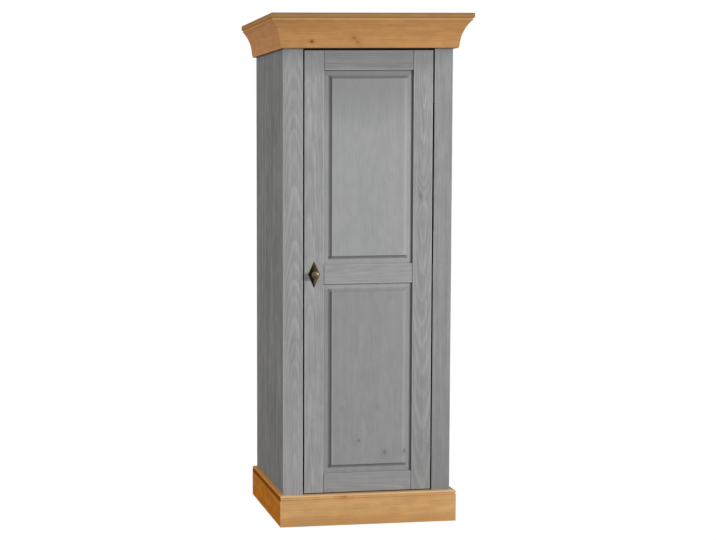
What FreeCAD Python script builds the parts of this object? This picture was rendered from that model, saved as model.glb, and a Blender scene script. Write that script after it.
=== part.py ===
import FreeCAD, Part
import math
import os
import Sketcher

# A single-door pine cupboard: panelled door in a face frame, moulded crown, beaded plinth.
# Millimetres; +X right, -Y to the front, +Z up; the origin is the middle of the floor box.

doc = FreeCAD.newDocument("cupboard")
sheet = doc.addObject("Spreadsheet::Sheet", "sizes")


class Size:
    """A length in millimetres that also knows its formula in the sheet's cells."""

    def __init__(self, value, formula):
        self.value = float(value)
        self.formula = formula

    def __add__(self, other):
        other = as_size(other)
        return Size(self.value + other.value, f"({self.formula} + {other.formula})")

    def __sub__(self, other):
        other = as_size(other)
        return Size(self.value - other.value, f"({self.formula} - {other.formula})")

    def __mul__(self, other):
        other = as_size(other)
        return Size(self.value * other.value, f"({self.formula} * {other.formula})")

    def __truediv__(self, other):
        other = as_size(other)
        return Size(self.value / other.value, f"({self.formula} / {other.formula})")

    def __neg__(self):
        return Size(-self.value, f"(0 - {self.formula})")

    __radd__ = __add__
    __rmul__ = __mul__


def as_size(number):
    """Wrap a plain factor, so that it can stand in a sum beside a Size."""
    if isinstance(number, Size):
        return number
    return Size(number, f"({number})")


rows = []


def cell(alias, value):
    """Write one driving dimension to the sheet and return it as a Size."""
    rows.append(alias)
    row = len(rows)
    sheet.set(f"A{row}", alias)
    sheet.set(f"B{row}", str(value))
    sheet.setAlias(f"B{row}", alias)
    return Size(value, f"sizes.{alias}")


# Carcass
total_height = cell("total_height", 1900)
body_width = cell("body_width", 638)
body_depth = cell("body_depth", 490)
side_thickness = cell("side_thickness", 18)
panel_thickness = cell("panel_thickness", 18)
face_thickness = cell("face_thickness", 22)
face_stile_width = cell("face_stile_width", 70.5)
arris_radius = cell("arris_radius", 1.2)
corner_radius = cell("corner_radius", 2)
stop_overlap = cell("stop_overlap", 10)

# Plinth
plinth_height = cell("plinth_height", 117)
plinth_thickness = cell("plinth_thickness", 19)
plinth_bead_radius = cell("plinth_bead_radius", 4)
plinth_quirk_height = cell("plinth_quirk_height", 10)
plinth_quirk_depth = cell("plinth_quirk_depth", 1.4)
block_side = cell("block_side", 32)
block_floor_gap = cell("block_floor_gap", 8)
cleat_side = cell("cleat_side", 20)

# Crown
crown_height = cell("crown_height", 125)
crown_overhang = cell("crown_overhang", 60)
cap_thickness = cell("cap_thickness", 18)
cap_inset = cell("cap_inset", 26)
cap_edge_radius = cell("cap_edge_radius", 3)
cap_lip = cell("cap_lip", 2)
cove_foot = cell("cove_foot", 10)
cove_foot_radius = cell("cove_foot_radius", 7)
cove_flat_rise = cell("cove_flat_rise", 32)
cove_flat_run = cell("cove_flat_run", 4.5)
cove_fillet_height = cell("cove_fillet_height", 9)
cove_fillet_step = cell("cove_fillet_step", 2.4)
cove_top_run = cell("cove_top_run", 52)
cove_sag = cell("cove_sag", 3.9)
roof_thickness = cell("roof_thickness", 5)

# Back
back_thickness = cell("back_thickness", 10)
back_rebate = cell("back_rebate", 8)
back_floor_gap = cell("back_floor_gap", 20)
back_tongue = cell("back_tongue", 5)
back_tongue_thickness = cell("back_tongue_thickness", 3.4)
back_joint_gap = cell("back_joint_gap", 0.4)
tip_rail_height = cell("tip_rail_height", 50)
tip_hole_radius = cell("tip_hole_radius", 3)

# Shelves
shelf_thickness = cell("shelf_thickness", 18)
shelf_end_gap = cell("shelf_end_gap", 2)
shelf_front_gap = cell("shelf_front_gap", 28)
shelf_back_gap = cell("shelf_back_gap", 2)
pin_radius = cell("pin_radius", 2.5)
pin_reach = cell("pin_reach", 9)
pin_collar_radius = cell("pin_collar_radius", 4)
pin_collar_thickness = cell("pin_collar_thickness", 1.5)
pin_inset = cell("pin_inset", 60)
pin_pitch = cell("pin_pitch", 32)
fit_gap = cell("fit_gap", 0.05)
dowel_radius = cell("dowel_radius", 4)
dowel_in_side = cell("dowel_in_side", 11)
dowel_in_panel = cell("dowel_in_panel", 20)
dowel_inset = cell("dowel_inset", 55)

# Door
door_gap = cell("door_gap", 5.5)
door_thickness = cell("door_thickness", 21)
door_stile_width = cell("door_stile_width", 73)
door_rail_height = cell("door_rail_height", 72)
middle_rail_centre = cell("middle_rail_centre", 944.5)
groove_depth = cell("groove_depth", 10)
groove_front = cell("groove_front", 8.2)
groove_width = cell("groove_width", 7)
panel_play = cell("panel_play", 1.5)
panel_slack = cell("panel_slack", 0.1)
panel_recess = cell("panel_recess", 0.6)
bevel_width = cell("bevel_width", 19.5)
bevel_rise = cell("bevel_rise", 1.2)
panel_cove_width = cell("panel_cove_width", 7)
panel_cove_rise = cell("panel_cove_rise", 1.6)
panel_cove_sag = cell("panel_cove_sag", 0.5)
riser_width = cell("riser_width", 4.8)

# Hinges
hinge_height = cell("hinge_height", 64)
hinge_inset = cell("hinge_inset", 160)
hinge_axis_depth = cell("hinge_axis_depth", 1.5)
knuckle_radius = cell("knuckle_radius", 2.4)
knuckle_gap = cell("knuckle_gap", 0.2)
hinge_bore_radius = cell("hinge_bore_radius", 1.2)
hinge_pin_radius = cell("hinge_pin_radius", 1.15)
leaf_depth = cell("leaf_depth", 0.9)
leaf_proud = cell("leaf_proud", 0.2)
leaf_width = cell("leaf_width", 16)
web_front = cell("web_front", 1.25)
screw_radius = cell("screw_radius", 1.6)
screw_head_radius = cell("screw_head_radius", 3)
screw_head_height = cell("screw_head_height", 1.4)
hinge_screw_length = cell("hinge_screw_length", 18)
hinge_screw_spread = cell("hinge_screw_spread", 22)
back_screw_length = cell("back_screw_length", 32)

# Knob and catch
plate_height = cell("plate_height", 98)
plate_width = cell("plate_width", 44)
plate_edge = cell("plate_edge", 1.2)
plate_rise = cell("plate_rise", 1.8)
knob_radius = cell("knob_radius", 15)
knob_length = cell("knob_length", 28)
knob_foot_radius = cell("knob_foot_radius", 8)
knob_foot_height = cell("knob_foot_height", 2.5)
knob_neck_radius = cell("knob_neck_radius", 5.5)
knob_head_height = cell("knob_head_height", 17)
knob_screw_radius = cell("knob_screw_radius", 2)
knob_screw_grip = cell("knob_screw_grip", 12)
knob_screw_head_radius = cell("knob_screw_head_radius", 4)
knob_screw_head_height = cell("knob_screw_head_height", 2.4)
catch_length = cell("catch_length", 44)
catch_depth = cell("catch_depth", 16)
catch_height = cell("catch_height", 14)
catch_side_gap = cell("catch_side_gap", 60)
catch_play = cell("catch_play", 0.4)
catch_magnet_height = cell("catch_magnet_height", 7)
catch_magnet_depth = cell("catch_magnet_depth", 10)
catch_screw_inset = cell("catch_screw_inset", 6)
catch_screw_length = cell("catch_screw_length", 18)
strike_thickness = cell("strike_thickness", 0.6)
strike_height = cell("strike_height", 12)
strike_length = cell("strike_length", 38)
strike_screw_length = cell("strike_screw_length", 12)
cut_over = cell("cut_over", 5)

doc.recompute()

# Shares chosen by hand
shelf_height_shares = (0.2, 0.4, 0.6, 0.8)
knob_widest_share = 0.55
knob_face_share = 0.62
plate_top_share = 0.3
plate_seat_share = 0.5
quirk_sag_share = 0.35
quarter_sag_share = 1 - math.sqrt(0.5)
knob_rim_share = 0.7
knob_dome_share = 0.16
knob_flat_share = 0.15
BACK_BOARDS = 6
PINS_PER_ROW = 3
SCREWS_PER_LEAF = 3

# Planes that the pieces share
front = -(body_depth + crown_overhang) / 2 + crown_overhang
back = (body_depth + crown_overhang) / 2
body_half = body_width / 2
inner_half = body_half - side_thickness
face_back = front + face_thickness
opening_half = body_half - face_stile_width
crown_low = total_height - crown_height
cap_low = total_height - cap_thickness
roof_low = cap_low - roof_thickness
back_face = back - back_thickness
door_half = opening_half - door_gap
door_low = plinth_height + door_gap
door_high = crown_low - door_gap
door_back = front + door_thickness
floor_high = door_low + stop_overlap
floor_low = floor_high - panel_thickness
ceiling_low = door_high - stop_overlap
ceiling_high = ceiling_low + panel_thickness
zero = body_width * 0


def new_body(name):
    """Start a body whose label is the piece's name."""
    body = doc.addObject("PartDesign::Body", name)
    body.Label = name
    return body


def origin_plane(body, role):
    """Find one of the body's own origin planes or axes."""
    return [item for item in body.Origin.OriginFeatures if item.Role == role][0]


def bind(item, **formulas):
    """Bind named properties of an object to Sizes."""
    for name, size in formulas.items():
        item.setExpression(name.replace("__", "."), size.formula)


def arc_radius(start, end, sag):
    """Radius of the arc over a chord that rises by sag at its middle."""
    run = end[0] - start[0]
    rise = end[1] - start[1]
    chord_squared = run * run + rise * rise
    return (chord_squared / 4 + sag * sag) / (sag * 2)


def edge_shape(start, end, sag):
    """Straight edge, or with a sag the arc that bulges to the left of its travel."""
    first = FreeCAD.Vector(start[0].value, start[1].value, 0)
    last = FreeCAD.Vector(end[0].value, end[1].value, 0)
    if sag is None:
        return Part.LineSegment(first, last)
    along = last - first
    across = FreeCAD.Vector(-along.y, along.x, 0)
    across.normalize()
    middle = (first + last) * 0.5 + across * sag.value
    return Part.Arc(first, middle, last)


def outline(body, name, role, points, offset=None):
    """Sketch a closed outline on an origin plane, every corner bound to the sheet.

    A point is (across, up) or (across, up, sag), where sag rounds the edge that arrives there.
    A sketch keeps its arcs counter-clockwise, so an arc that runs clockwise has its ends swapped.
    """
    sketch = body.newObject("Sketcher::SketchObject", name)
    sketch.AttachmentSupport = (origin_plane(body, role), [""])
    sketch.MapMode = "FlatFace"
    if offset is not None:
        sketch.AttachmentOffset = FreeCAD.Placement()
        bind(sketch, AttachmentOffset__Base__z=offset)
    count = len(points)
    ends = []
    for index in range(count):
        start = points[index]
        end = points[(index + 1) % count]
        sag = end[2] if len(end) > 2 else None
        geometry = sketch.addGeometry(edge_shape(start, end, sag), False)
        clockwise = sag is not None and sag.value > 0
        ends.append((2, 1) if clockwise else (1, 2))
        if sag is not None:
            size = arc_radius(start, end, abs_size(sag))
            held = sketch.addConstraint(Sketcher.Constraint("Radius", geometry, size.value))
            sketch.setExpression(f"Constraints[{held}]", size.formula)
    for index in range(count):
        after = (index + 1) % count
        joined = Sketcher.Constraint("Coincident", index, ends[index][1], after, ends[after][0])
        sketch.addConstraint(joined)
        for kind, size in zip(("DistanceX", "DistanceY"), points[index]):
            held = sketch.addConstraint(
                Sketcher.Constraint(kind, -1, 1, index, ends[index][0], size.value))
            sketch.setExpression(f"Constraints[{held}]", size.formula)
    return sketch


def abs_size(size):
    """The same length without its sign."""
    return -size if size.value < 0 else size


def pad(body, sketch, length, flip=False):
    """Pad a sketch along its normal, or against it."""
    feature = body.newObject("PartDesign::Pad", f"{body.Name}_pad")
    feature.Profile = sketch
    feature.Reversed = flip
    bind(feature, Length=length)
    return feature


def pocket(body, sketch, length, flip=False):
    """Cut a sketch against its normal, or along it when flipped, and see that it cuts."""
    doc.recompute()
    before = body.Shape.Volume
    feature = body.newObject("PartDesign::Pocket", f"{body.Name}_pocket")
    feature.Profile = sketch
    feature.Reversed = flip
    bind(feature, Length=length)
    doc.recompute()
    if body.Shape.Volume >= before:
        raise RuntimeError(f"{body.Label}: a pocket cuts nothing")
    return feature


def rectangle(across, up):
    """Corners of a rectangle from two spans."""
    return [(across[0], up[0]), (across[1], up[0]), (across[1], up[1]), (across[0], up[1])]


def mirrored(side, near, far):
    """A span on the right, or its mirror image on the left."""
    return (near, far) if side > 0 else (-far, -near)


def board(name, across, deep, up):
    """A board: its plan padded up from its lower end."""
    body = new_body(name)
    sketch = outline(body, f"{name}_plan", "XY_Plane", rectangle(across, deep), up[0])
    pad(body, sketch, up[1] - up[0])
    return body


def cut_box(body, across, deep, up):
    """Take a box out of a body."""
    feature = body.newObject("PartDesign::SubtractiveBox", f"{body.Name}_cut")
    bind(feature, Length=across[1] - across[0], Width=deep[1] - deep[0], Height=up[1] - up[0])
    bind(feature, Placement__Base__x=across[0], Placement__Base__y=deep[0],
         Placement__Base__z=up[0])
    return feature


def add_box(body, across, deep, up):
    """Add a box to a body."""
    feature = body.newObject("PartDesign::AdditiveBox", f"{body.Name}_tongue")
    bind(feature, Length=across[1] - across[0], Width=deep[1] - deep[0], Height=up[1] - up[0])
    bind(feature, Placement__Base__x=across[0], Placement__Base__y=deep[0],
         Placement__Base__z=up[0])
    return feature


TURNS = {
    "+X": FreeCAD.Rotation(FreeCAD.Vector(0, 1, 0), 90),
    "-X": FreeCAD.Rotation(FreeCAD.Vector(0, 1, 0), -90),
    "+Y": FreeCAD.Rotation(FreeCAD.Vector(1, 0, 0), -90),
    "-Y": FreeCAD.Rotation(FreeCAD.Vector(1, 0, 0), 90),
    "+Z": FreeCAD.Rotation(),
}


def aim(item, start, way):
    """Put a round primitive's foot at start and its axis along way."""
    item.Placement = FreeCAD.Placement(FreeCAD.Vector(), TURNS[way])
    bind(item, Placement__Base__x=start[0], Placement__Base__y=start[1],
         Placement__Base__z=start[2])


def drill(body, start, way, radius, depth):
    """Drill one round hole and return its feature."""
    feature = body.newObject("PartDesign::SubtractiveCylinder", f"{body.Name}_hole")
    bind(feature, Radius=radius, Height=depth)
    aim(feature, start, way)
    return feature


def sink(body, start, way):
    """Countersink for a screw head whose face is at start."""
    feature = body.newObject("PartDesign::SubtractiveCone", f"{body.Name}_sink")
    bind(feature, Radius1=screw_head_radius + fit_gap, Radius2=screw_radius + fit_gap,
         Height=screw_head_height)
    aim(feature, start, way)
    return feature


def along(feature, pitch, count, role="Z_Axis"):
    """Repeat a hole along one of the body's axes."""
    body = feature.getParentGeoFeatureGroup()
    pattern = body.newObject("PartDesign::LinearPattern", f"{body.Name}_row")
    pattern.Originals = [feature]
    pattern.Direction = (origin_plane(body, role), [""])
    bind(pattern, Length=pitch * (count - 1))
    pattern.Occurrences = count
    body.Tip = pattern
    return pattern


def ease(body, radius, wanted):
    """Round the edges that the test wants."""
    doc.recompute()
    base = body.Tip
    names = [f"Edge{index}" for index, edge in enumerate(base.Shape.Edges, 1) if wanted(edge)]
    feature = body.newObject("PartDesign::Fillet", f"{body.Name}_round")
    feature.Base = (base, names)
    bind(feature, Radius=radius)
    return feature


NEAR = 1e-4


def runs_along(edge, axis):
    """True for a straight edge that lies along the axis X, Y or Z."""
    box = edge.BoundBox
    lengths = {"X": box.XLength, "Y": box.YLength, "Z": box.ZLength}
    return lengths.pop(axis) > NEAR and max(lengths.values()) < NEAR


def front_edge(edge, axis, at=front):
    """True for an edge along the axis on a front plane."""
    return runs_along(edge, axis) and abs(edge.BoundBox.YMin - at.value) < NEAR


def screw(name, face, way, length):
    """A countersunk wood screw whose head's face is at face."""
    shank = doc.addObject("Part::Cylinder", f"{name}_shank")
    bind(shank, Radius=screw_radius, Height=length)
    aim(shank, face, way)
    head = doc.addObject("Part::Cone", f"{name}_head")
    bind(head, Radius1=screw_head_radius, Radius2=screw_radius, Height=screw_head_height)
    aim(head, face, way)
    whole = doc.addObject("Part::Fuse", name)
    whole.Base = shank
    whole.Tool = head
    return whole


def group(name, pieces):
    """Put identical small pieces in one node."""
    together = doc.addObject("Part::Compound", name)
    together.Links = pieces
    together.Label = name
    return together


nodes = []


def keep(*pieces):
    """Note the finished pieces in the order that they are made."""
    nodes.extend(pieces)


def side_name(side):
    """Word for the side on -X or +X."""
    return "left" if side < 0 else "right"


# Shelves stand at even shares of the height between floor and ceiling panels
inside_height = ceiling_low - floor_high
shelf_lows = [floor_high + inside_height * share - shelf_thickness / 2
              for share in shelf_height_shares]
shelf_front = face_back + shelf_front_gap
shelf_back = back_face - shelf_back_gap
pin_places = (shelf_front + pin_inset, shelf_back - pin_inset)
dowel_places = (face_back + dowel_inset, (face_back + back_face) / 2, back_face - dowel_inset)
dowel_heights = ((floor_low + floor_high) / 2, (ceiling_low + ceiling_high) / 2)


def make_side(side):
    """A side panel with its back rebate, shelf pin holes and dowel holes."""
    name = f"side_panel_{side_name(side)}"
    body = board(name, mirrored(side, inner_half, body_half), (face_back, back), (zero, roof_low))
    cut_box(body, mirrored(side, inner_half - cut_over, inner_half + back_rebate),
            (back_face, back + cut_over), (-cut_over, roof_low + cut_over))
    way = "+X" if side > 0 else "-X"
    for low in shelf_lows:
        for place in pin_places:
            start = (inner_half * side, place, low - pin_radius - pin_pitch)
            hole = drill(body, start, way, pin_radius + fit_gap, pin_reach)
            along(hole, pin_pitch, PINS_PER_ROW)
    for height in dowel_heights:
        for place in dowel_places:
            drill(body, (inner_half * side, place, height), way, dowel_radius + fit_gap,
                  dowel_in_side)
    return body


def back_screw_places():
    """Screw heads on the back: one in each board at the floor and at the ceiling panel."""
    pitch = (inner_half + back_rebate) * 2 / BACK_BOARDS
    start = -(inner_half + back_rebate) + pitch / 2
    return [(start + pitch * index, back, height)
            for index in range(BACK_BOARDS) for height in dowel_heights]


def make_flat_panel(name, up):
    """The floor or the ceiling panel, dowelled to the sides and screwed from the back."""
    body = board(name, (-inner_half, inner_half), (face_back, back_face), up)
    height = (up[0] + up[1]) / 2
    for side, way in ((-1, "+X"), (1, "-X")):
        for place in dowel_places:
            drill(body, (inner_half * side, place, height), way, dowel_radius + fit_gap,
                  dowel_in_panel)
    for place in back_screw_places():
        if abs(place[2].value - height.value) < NEAR:
            drill(body, (place[0], back_face, place[2]), "-Y", screw_radius + fit_gap,
                  back_screw_length - back_thickness)
    return body


def make_dowels():
    """Wooden dowels between the side panels and the floor and ceiling panels."""
    pieces = []
    for side in (-1, 1):
        for height in dowel_heights:
            for place in dowel_places:
                dowel = doc.addObject("Part::Cylinder", "dowel")
                bind(dowel, Radius=dowel_radius, Height=dowel_in_side + dowel_in_panel)
                start = inner_half * side + (-dowel_in_panel if side > 0 else -dowel_in_side)
                aim(dowel, (start, place, height), "+X")
                pieces.append(dowel)
    return group("carcass_dowels", pieces)


for side in (-1, 1):
    keep(make_side(side))
keep(make_flat_panel("floor_panel", (floor_low, floor_high)))
ceiling = make_flat_panel("ceiling_panel", (ceiling_low, ceiling_high))

# The catch hangs under the ceiling panel behind the door's free edge
catch_left = -opening_half + catch_side_gap
catch_right = catch_left + catch_length
catch_low = ceiling_low - catch_height
catch_front = door_back + strike_thickness + catch_play
catch_screw_ways = [(place, catch_front + catch_depth / 2)
                    for place in (catch_left + catch_screw_inset, catch_right - catch_screw_inset)]
for across, deep in catch_screw_ways:
    drill(ceiling, (across, deep, ceiling_low), "+Z", screw_radius + fit_gap,
          catch_screw_length - catch_height)
keep(ceiling)
keep(make_dowels())
keep(board("roof_board", (-body_half, body_half), (front, back), (roof_low, cap_low)))


# Face frame
for side in (-1, 1):
    stile = board(f"face_stile_{side_name(side)}", mirrored(side, opening_half, body_half),
                  (front, face_back), (zero, roof_low))
    if side > 0:
        hinge_side_stile = stile
    keep(stile)
rail_span = (-opening_half, opening_half)
keep(board("face_rail_top", rail_span, (front, face_back), (crown_low, roof_low)))
keep(board("face_rail_bottom", rail_span, (front, face_back), (zero, plinth_height)))


# Back boards, tongued into each other and let into the side panels' rebates
def make_back_board(index):
    """One upright board of the back; the first has no groove and the last no tongue."""
    pitch = (inner_half + back_rebate) * 2 / BACK_BOARDS
    left = -(inner_half + back_rebate) + pitch * index
    right = left + pitch - (back_joint_gap if index < BACK_BOARDS - 1 else zero)
    tongue_low = back_face + (back_thickness - back_tongue_thickness) / 2
    tongue_high = tongue_low + back_tongue_thickness
    points = [(left, back_face), (right, back_face)]
    if index < BACK_BOARDS - 1:
        points += [(right, tongue_low), (right + back_tongue, tongue_low),
                   (right + back_tongue, tongue_high), (right, tongue_high)]
    points += [(right, back), (left, back)]
    if index > 0:
        inner = left + back_tongue + back_joint_gap
        points += [(left, tongue_high + back_joint_gap / 2),
                   (inner, tongue_high + back_joint_gap / 2),
                   (inner, tongue_low - back_joint_gap / 2),
                   (left, tongue_low - back_joint_gap / 2)]
    name = f"back_board_{index + 1}"
    body = new_body(name)
    sketch = outline(body, f"{name}_plan", "XY_Plane", points, back_floor_gap)
    pad(body, sketch, roof_low - back_floor_gap)
    for place in back_screw_places():
        if left.value < place[0].value < right.value:
            drill(body, place, "-Y", screw_radius + fit_gap, back_thickness)
            sink(body, place, "-Y")
    for place in tip_places:
        if left.value < place[0].value < right.value:
            drill(body, (place[0], back_face, place[2]), "+Y", tip_hole_radius, back_thickness)
    return body


# The tip-over rail takes two screws to the wall, in the middle of the second and fifth boards
tip_rail_front = back_face - panel_thickness
tip_rail_low = ceiling_low - tip_rail_height
tip_reach = (inner_half + back_rebate) * 2 / BACK_BOARDS * 1.5
tip_places = [(tip_reach * side, tip_rail_front, tip_rail_low + tip_rail_height / 2)
              for side in (-1, 1)]
for index in range(BACK_BOARDS):
    keep(make_back_board(index))
tip_rail = board("tip_over_rail", (-inner_half, inner_half), (tip_rail_front, back_face),
                 (tip_rail_low, ceiling_low))
for place in tip_places:
    drill(tip_rail, place, "+Y", tip_hole_radius, panel_thickness)
keep(tip_rail)
keep(group("back_screws", [screw("back_screw", place, "-Y", back_screw_length)
                           for place in back_screw_places()]))


# Shelves on pins
shelf_half = inner_half - shelf_end_gap
for number, low in enumerate(shelf_lows, 1):
    shelf = board(f"shelf_{number}", (-shelf_half, shelf_half), (shelf_front, shelf_back),
                  (low, low + shelf_thickness))
    ease(shelf, arris_radius, lambda edge: front_edge(edge, "X", shelf_front))
    keep(shelf)


def make_pin(side, place, low):
    """A shelf pin with its collar against the side panel."""
    way = "-X" if side > 0 else "+X"
    height = low - pin_radius
    rod = doc.addObject("Part::Cylinder", "pin_rod")
    bind(rod, Radius=pin_radius, Height=pin_reach * 2)
    aim(rod, ((inner_half + pin_reach) * side, place, height), way)
    collar = doc.addObject("Part::Cylinder", "pin_collar")
    bind(collar, Radius=pin_collar_radius, Height=pin_collar_thickness)
    aim(collar, (inner_half * side, place, height), way)
    whole = doc.addObject("Part::Fuse", "shelf_pin")
    whole.Base = rod
    whole.Tool = collar
    return whole


keep(group("shelf_pins", [make_pin(side, place, low) for low in shelf_lows
                          for side in (-1, 1) for place in pin_places]))


# Base: cleats under the floor panel and glue blocks in the front corners
for side in (-1, 1):
    keep(board(f"floor_cleat_{side_name(side)}",
               mirrored(side, inner_half - cleat_side, inner_half),
               (face_back + block_side, back_face), (floor_low - cleat_side, floor_low)))
keep(group("corner_blocks",
           [board(f"corner_block_{side_name(side)}",
                  mirrored(side, inner_half - block_side, inner_half),
                  (face_back, face_back + block_side), (block_floor_gap, floor_low))
            for side in (-1, 1)]))


# Mouldings: a profile is a list of (stand-off from the body, height), padded along a wall
def front_moulding(name, profile, reach, low, high, inset=zero):
    """A moulding across the front, mitred at both ends."""
    body = new_body(name)
    points = [(front - point[0], point[1], *(-sag for sag in point[2:])) for point in profile]
    half = body_half + reach
    sketch = outline(body, f"{name}_profile", "YZ_Plane", points, -half)
    pad(body, sketch, half * 2)
    for side in (-1, 1):
        corner = (body_half * side, front)
        far = reach + cut_over
        near = inset + cut_over
        waste = [(corner[0] - near * side, front + near),
                 (corner[0] + far * side, front - far),
                 (corner[0] + far * side, front + near)]
        sketch = outline(body, f"{name}_mitre_{side_name(side)}", "XY_Plane", waste,
                         low - cut_over)
        pocket(body, sketch, high - low + cut_over * 2, flip=True)
    return body


def side_moulding(name, side, profile, reach, low, high, inset=zero):
    """A moulding along one side, mitred at its front end and square at the back."""
    body = new_body(name)
    points = [((body_half + point[0]) * side, point[1], *(sag * side for sag in point[2:]))
              for point in profile]
    sketch = outline(body, f"{name}_profile", "XZ_Plane", points, -back)
    pad(body, sketch, back - front + reach)
    corner = (body_half * side, front)
    far = reach + cut_over
    near = inset + cut_over
    waste = [(corner[0] - near * side, front + near),
             (corner[0] + far * side, front - far),
             (corner[0] - near * side, front - far)]
    sketch = outline(body, f"{name}_mitre", "XY_Plane", waste, low - cut_over)
    pocket(body, sketch, high - low + cut_over * 2, flip=True)
    return body


def moulding_set(name, profile, reach, low, high, inset=zero):
    """The same moulding on the front and on both sides."""
    keep(front_moulding(f"{name}_front", profile, reach, low, high, inset))
    for side in (-1, 1):
        keep(side_moulding(f"{name}_{side_name(side)}", side, profile, reach, low, high, inset))


# Plinth: rounded upper edge with a shallow quirk under it
quirk_high = plinth_height - plinth_bead_radius * 2
quirk_low = quirk_high - plinth_quirk_height
plinth_profile = [
    (zero, zero),
    (plinth_thickness, zero),
    (plinth_thickness, quirk_low),
    (plinth_thickness - plinth_quirk_depth, quirk_high, plinth_quirk_depth * quirk_sag_share),
    (plinth_thickness, plinth_height - plinth_bead_radius,
     -plinth_quirk_depth * quirk_sag_share),
    (plinth_thickness - plinth_bead_radius, plinth_height,
     -plinth_bead_radius * quarter_sag_share),
    (zero, plinth_height),
]
moulding_set("plinth", plinth_profile, plinth_thickness, zero, plinth_height)

# Crown: a cove with a rounded foot and a small fillet, under a cap with rounded edges
cove_bottom = crown_low
flat_top = cove_bottom + cove_foot_radius + cove_flat_rise
hollow_top = cap_low - cove_fillet_height
cove_foot_out = cove_foot + cove_foot_radius
cove_profile = [
    (zero, cove_bottom),
    (cove_foot, cove_bottom),
    (cove_foot_out, cove_bottom + cove_foot_radius, -cove_foot_radius * quarter_sag_share),
    (cove_foot_out + cove_flat_run, flat_top),
    (cove_top_run, hollow_top, cove_sag),
    (cove_top_run + cove_fillet_step, hollow_top),
    (cove_top_run + cove_fillet_step, cap_low - cap_lip),
    (cove_top_run + cove_fillet_step + cap_lip, cap_low, cap_lip * quarter_sag_share),
    (zero, cap_low),
]
moulding_set("crown_cove", cove_profile, crown_overhang, crown_low, cap_low)

cap_profile = [
    (-cap_inset, cap_low),
    (crown_overhang - cap_edge_radius, cap_low),
    (crown_overhang, cap_low + cap_edge_radius, -cap_edge_radius * quarter_sag_share),
    (crown_overhang, total_height - cap_edge_radius),
    (crown_overhang - cap_edge_radius, total_height, -cap_edge_radius * quarter_sag_share),
    (-cap_inset, total_height),
]
moulding_set("crown_cap", cap_profile, crown_overhang, cap_low, total_height, cap_inset)
cap_back_half = body_half - cap_inset
keep(board("crown_cap_back", (-cap_back_half, cap_back_half), (back - cap_inset * 2, back),
           (cap_low, total_height)))


# Door frame
door_inner = door_half - door_stile_width
groove_back = front + groove_front + groove_width
groove_y = (front + groove_front, groove_back)
middle_low = middle_rail_centre - door_rail_height / 2
middle_high = middle_rail_centre + door_rail_height / 2
bottom_high = door_low + door_rail_height
top_low = door_high - door_rail_height

# Hinges stand at the door's right edge, near its ends and at its middle
axis_x = door_half + door_gap / 2
axis_y = front + hinge_axis_depth
hinge_heights = (door_low + hinge_inset, (door_low + door_high) / 2, door_high - hinge_inset)
leaf_y = (axis_y, axis_y + leaf_width)
hinge_screw_y = axis_y + leaf_width / 2 + knuckle_radius
leaf_faces = {-1: door_half + leaf_proud, 1: opening_half - leaf_proud}


def hinge_recess(body, side):
    """Let the leaves and their screws into the edge of the door (-1) or of the stile (1)."""
    edge = door_half if side < 0 else opening_half
    span = (edge - leaf_depth, edge + cut_over) if side < 0 else (edge - cut_over, edge + leaf_depth)
    way = "-X" if side < 0 else "+X"
    for height in hinge_heights:
        cut_box(body, span, leaf_y, (height - hinge_height / 2, height + hinge_height / 2))
        start = (leaf_faces[side], hinge_screw_y, height - hinge_screw_spread)
        hole = drill(body, start, way, screw_radius + fit_gap, hinge_screw_length)
        along(hole, hinge_screw_spread, SCREWS_PER_LEAF)
        wide = sink(body, start, way)
        along(wide, hinge_screw_spread, SCREWS_PER_LEAF)


def ease_front(body, axis):
    """Ease a face member's long front edges."""
    ease(body, arris_radius, lambda edge: front_edge(edge, axis) and edge.Length > groove_depth.value)


knob_x = -(door_half - door_stile_width / 2)
for side in (-1, 1):
    stile = board(f"door_stile_{side_name(side)}", mirrored(side, door_inner, door_half),
                  (front, door_back), (door_low, door_high))
    ease_front(stile, "Z")
    cut_box(stile, mirrored(side, door_inner - cut_over, door_inner + groove_depth), groove_y,
            (door_low - cut_over, door_high + cut_over))
    if side > 0:
        hinge_recess(stile, -1)
    else:
        drill(stile, (knob_x, front - cut_over, middle_rail_centre), "+Y",
              knob_screw_radius + fit_gap, door_thickness + cut_over * 2)
    keep(stile)

# The face stile on the hinge side takes the other leaves
hinge_recess(hinge_side_stile, 1)


def make_rail(name, low, high, grooves):
    """A door rail with a tenon at each end and grooves on the edges that hold a panel."""
    body = board(name, (-door_inner, door_inner), (front, door_back), (low, high))
    ease_front(body, "X")
    tenon_low = low + (groove_depth if "low" in grooves else zero)
    tenon_high = high - (groove_depth if "high" in grooves else zero)
    reach = door_inner + groove_depth
    add_box(body, (-reach, reach), groove_y, (tenon_low, tenon_high))
    span = (-door_inner - cut_over, door_inner + cut_over)
    if "low" in grooves:
        cut_box(body, span, groove_y, (low - cut_over, low + groove_depth))
    if "high" in grooves:
        cut_box(body, span, groove_y, (high - groove_depth, high + cut_over))
    return body


rail_top = make_rail("door_rail_top", top_low, door_high, ("low",))
keep(rail_top)
keep(make_rail("door_rail_middle", middle_low, middle_high, ("low", "high")))
keep(make_rail("door_rail_bottom", door_low, bottom_high, ("high",)))

# Raised panels: a tongue in the grooves, a bevel, a small cove and a riser up to the field
tongue_front = front + groove_front + panel_slack
tongue_back = groove_back - panel_slack
field_front = front + panel_recess
bevel_in = tongue_front - bevel_rise
cove_in = bevel_in - panel_cove_rise
tongue_reach = groove_depth - panel_play


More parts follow.
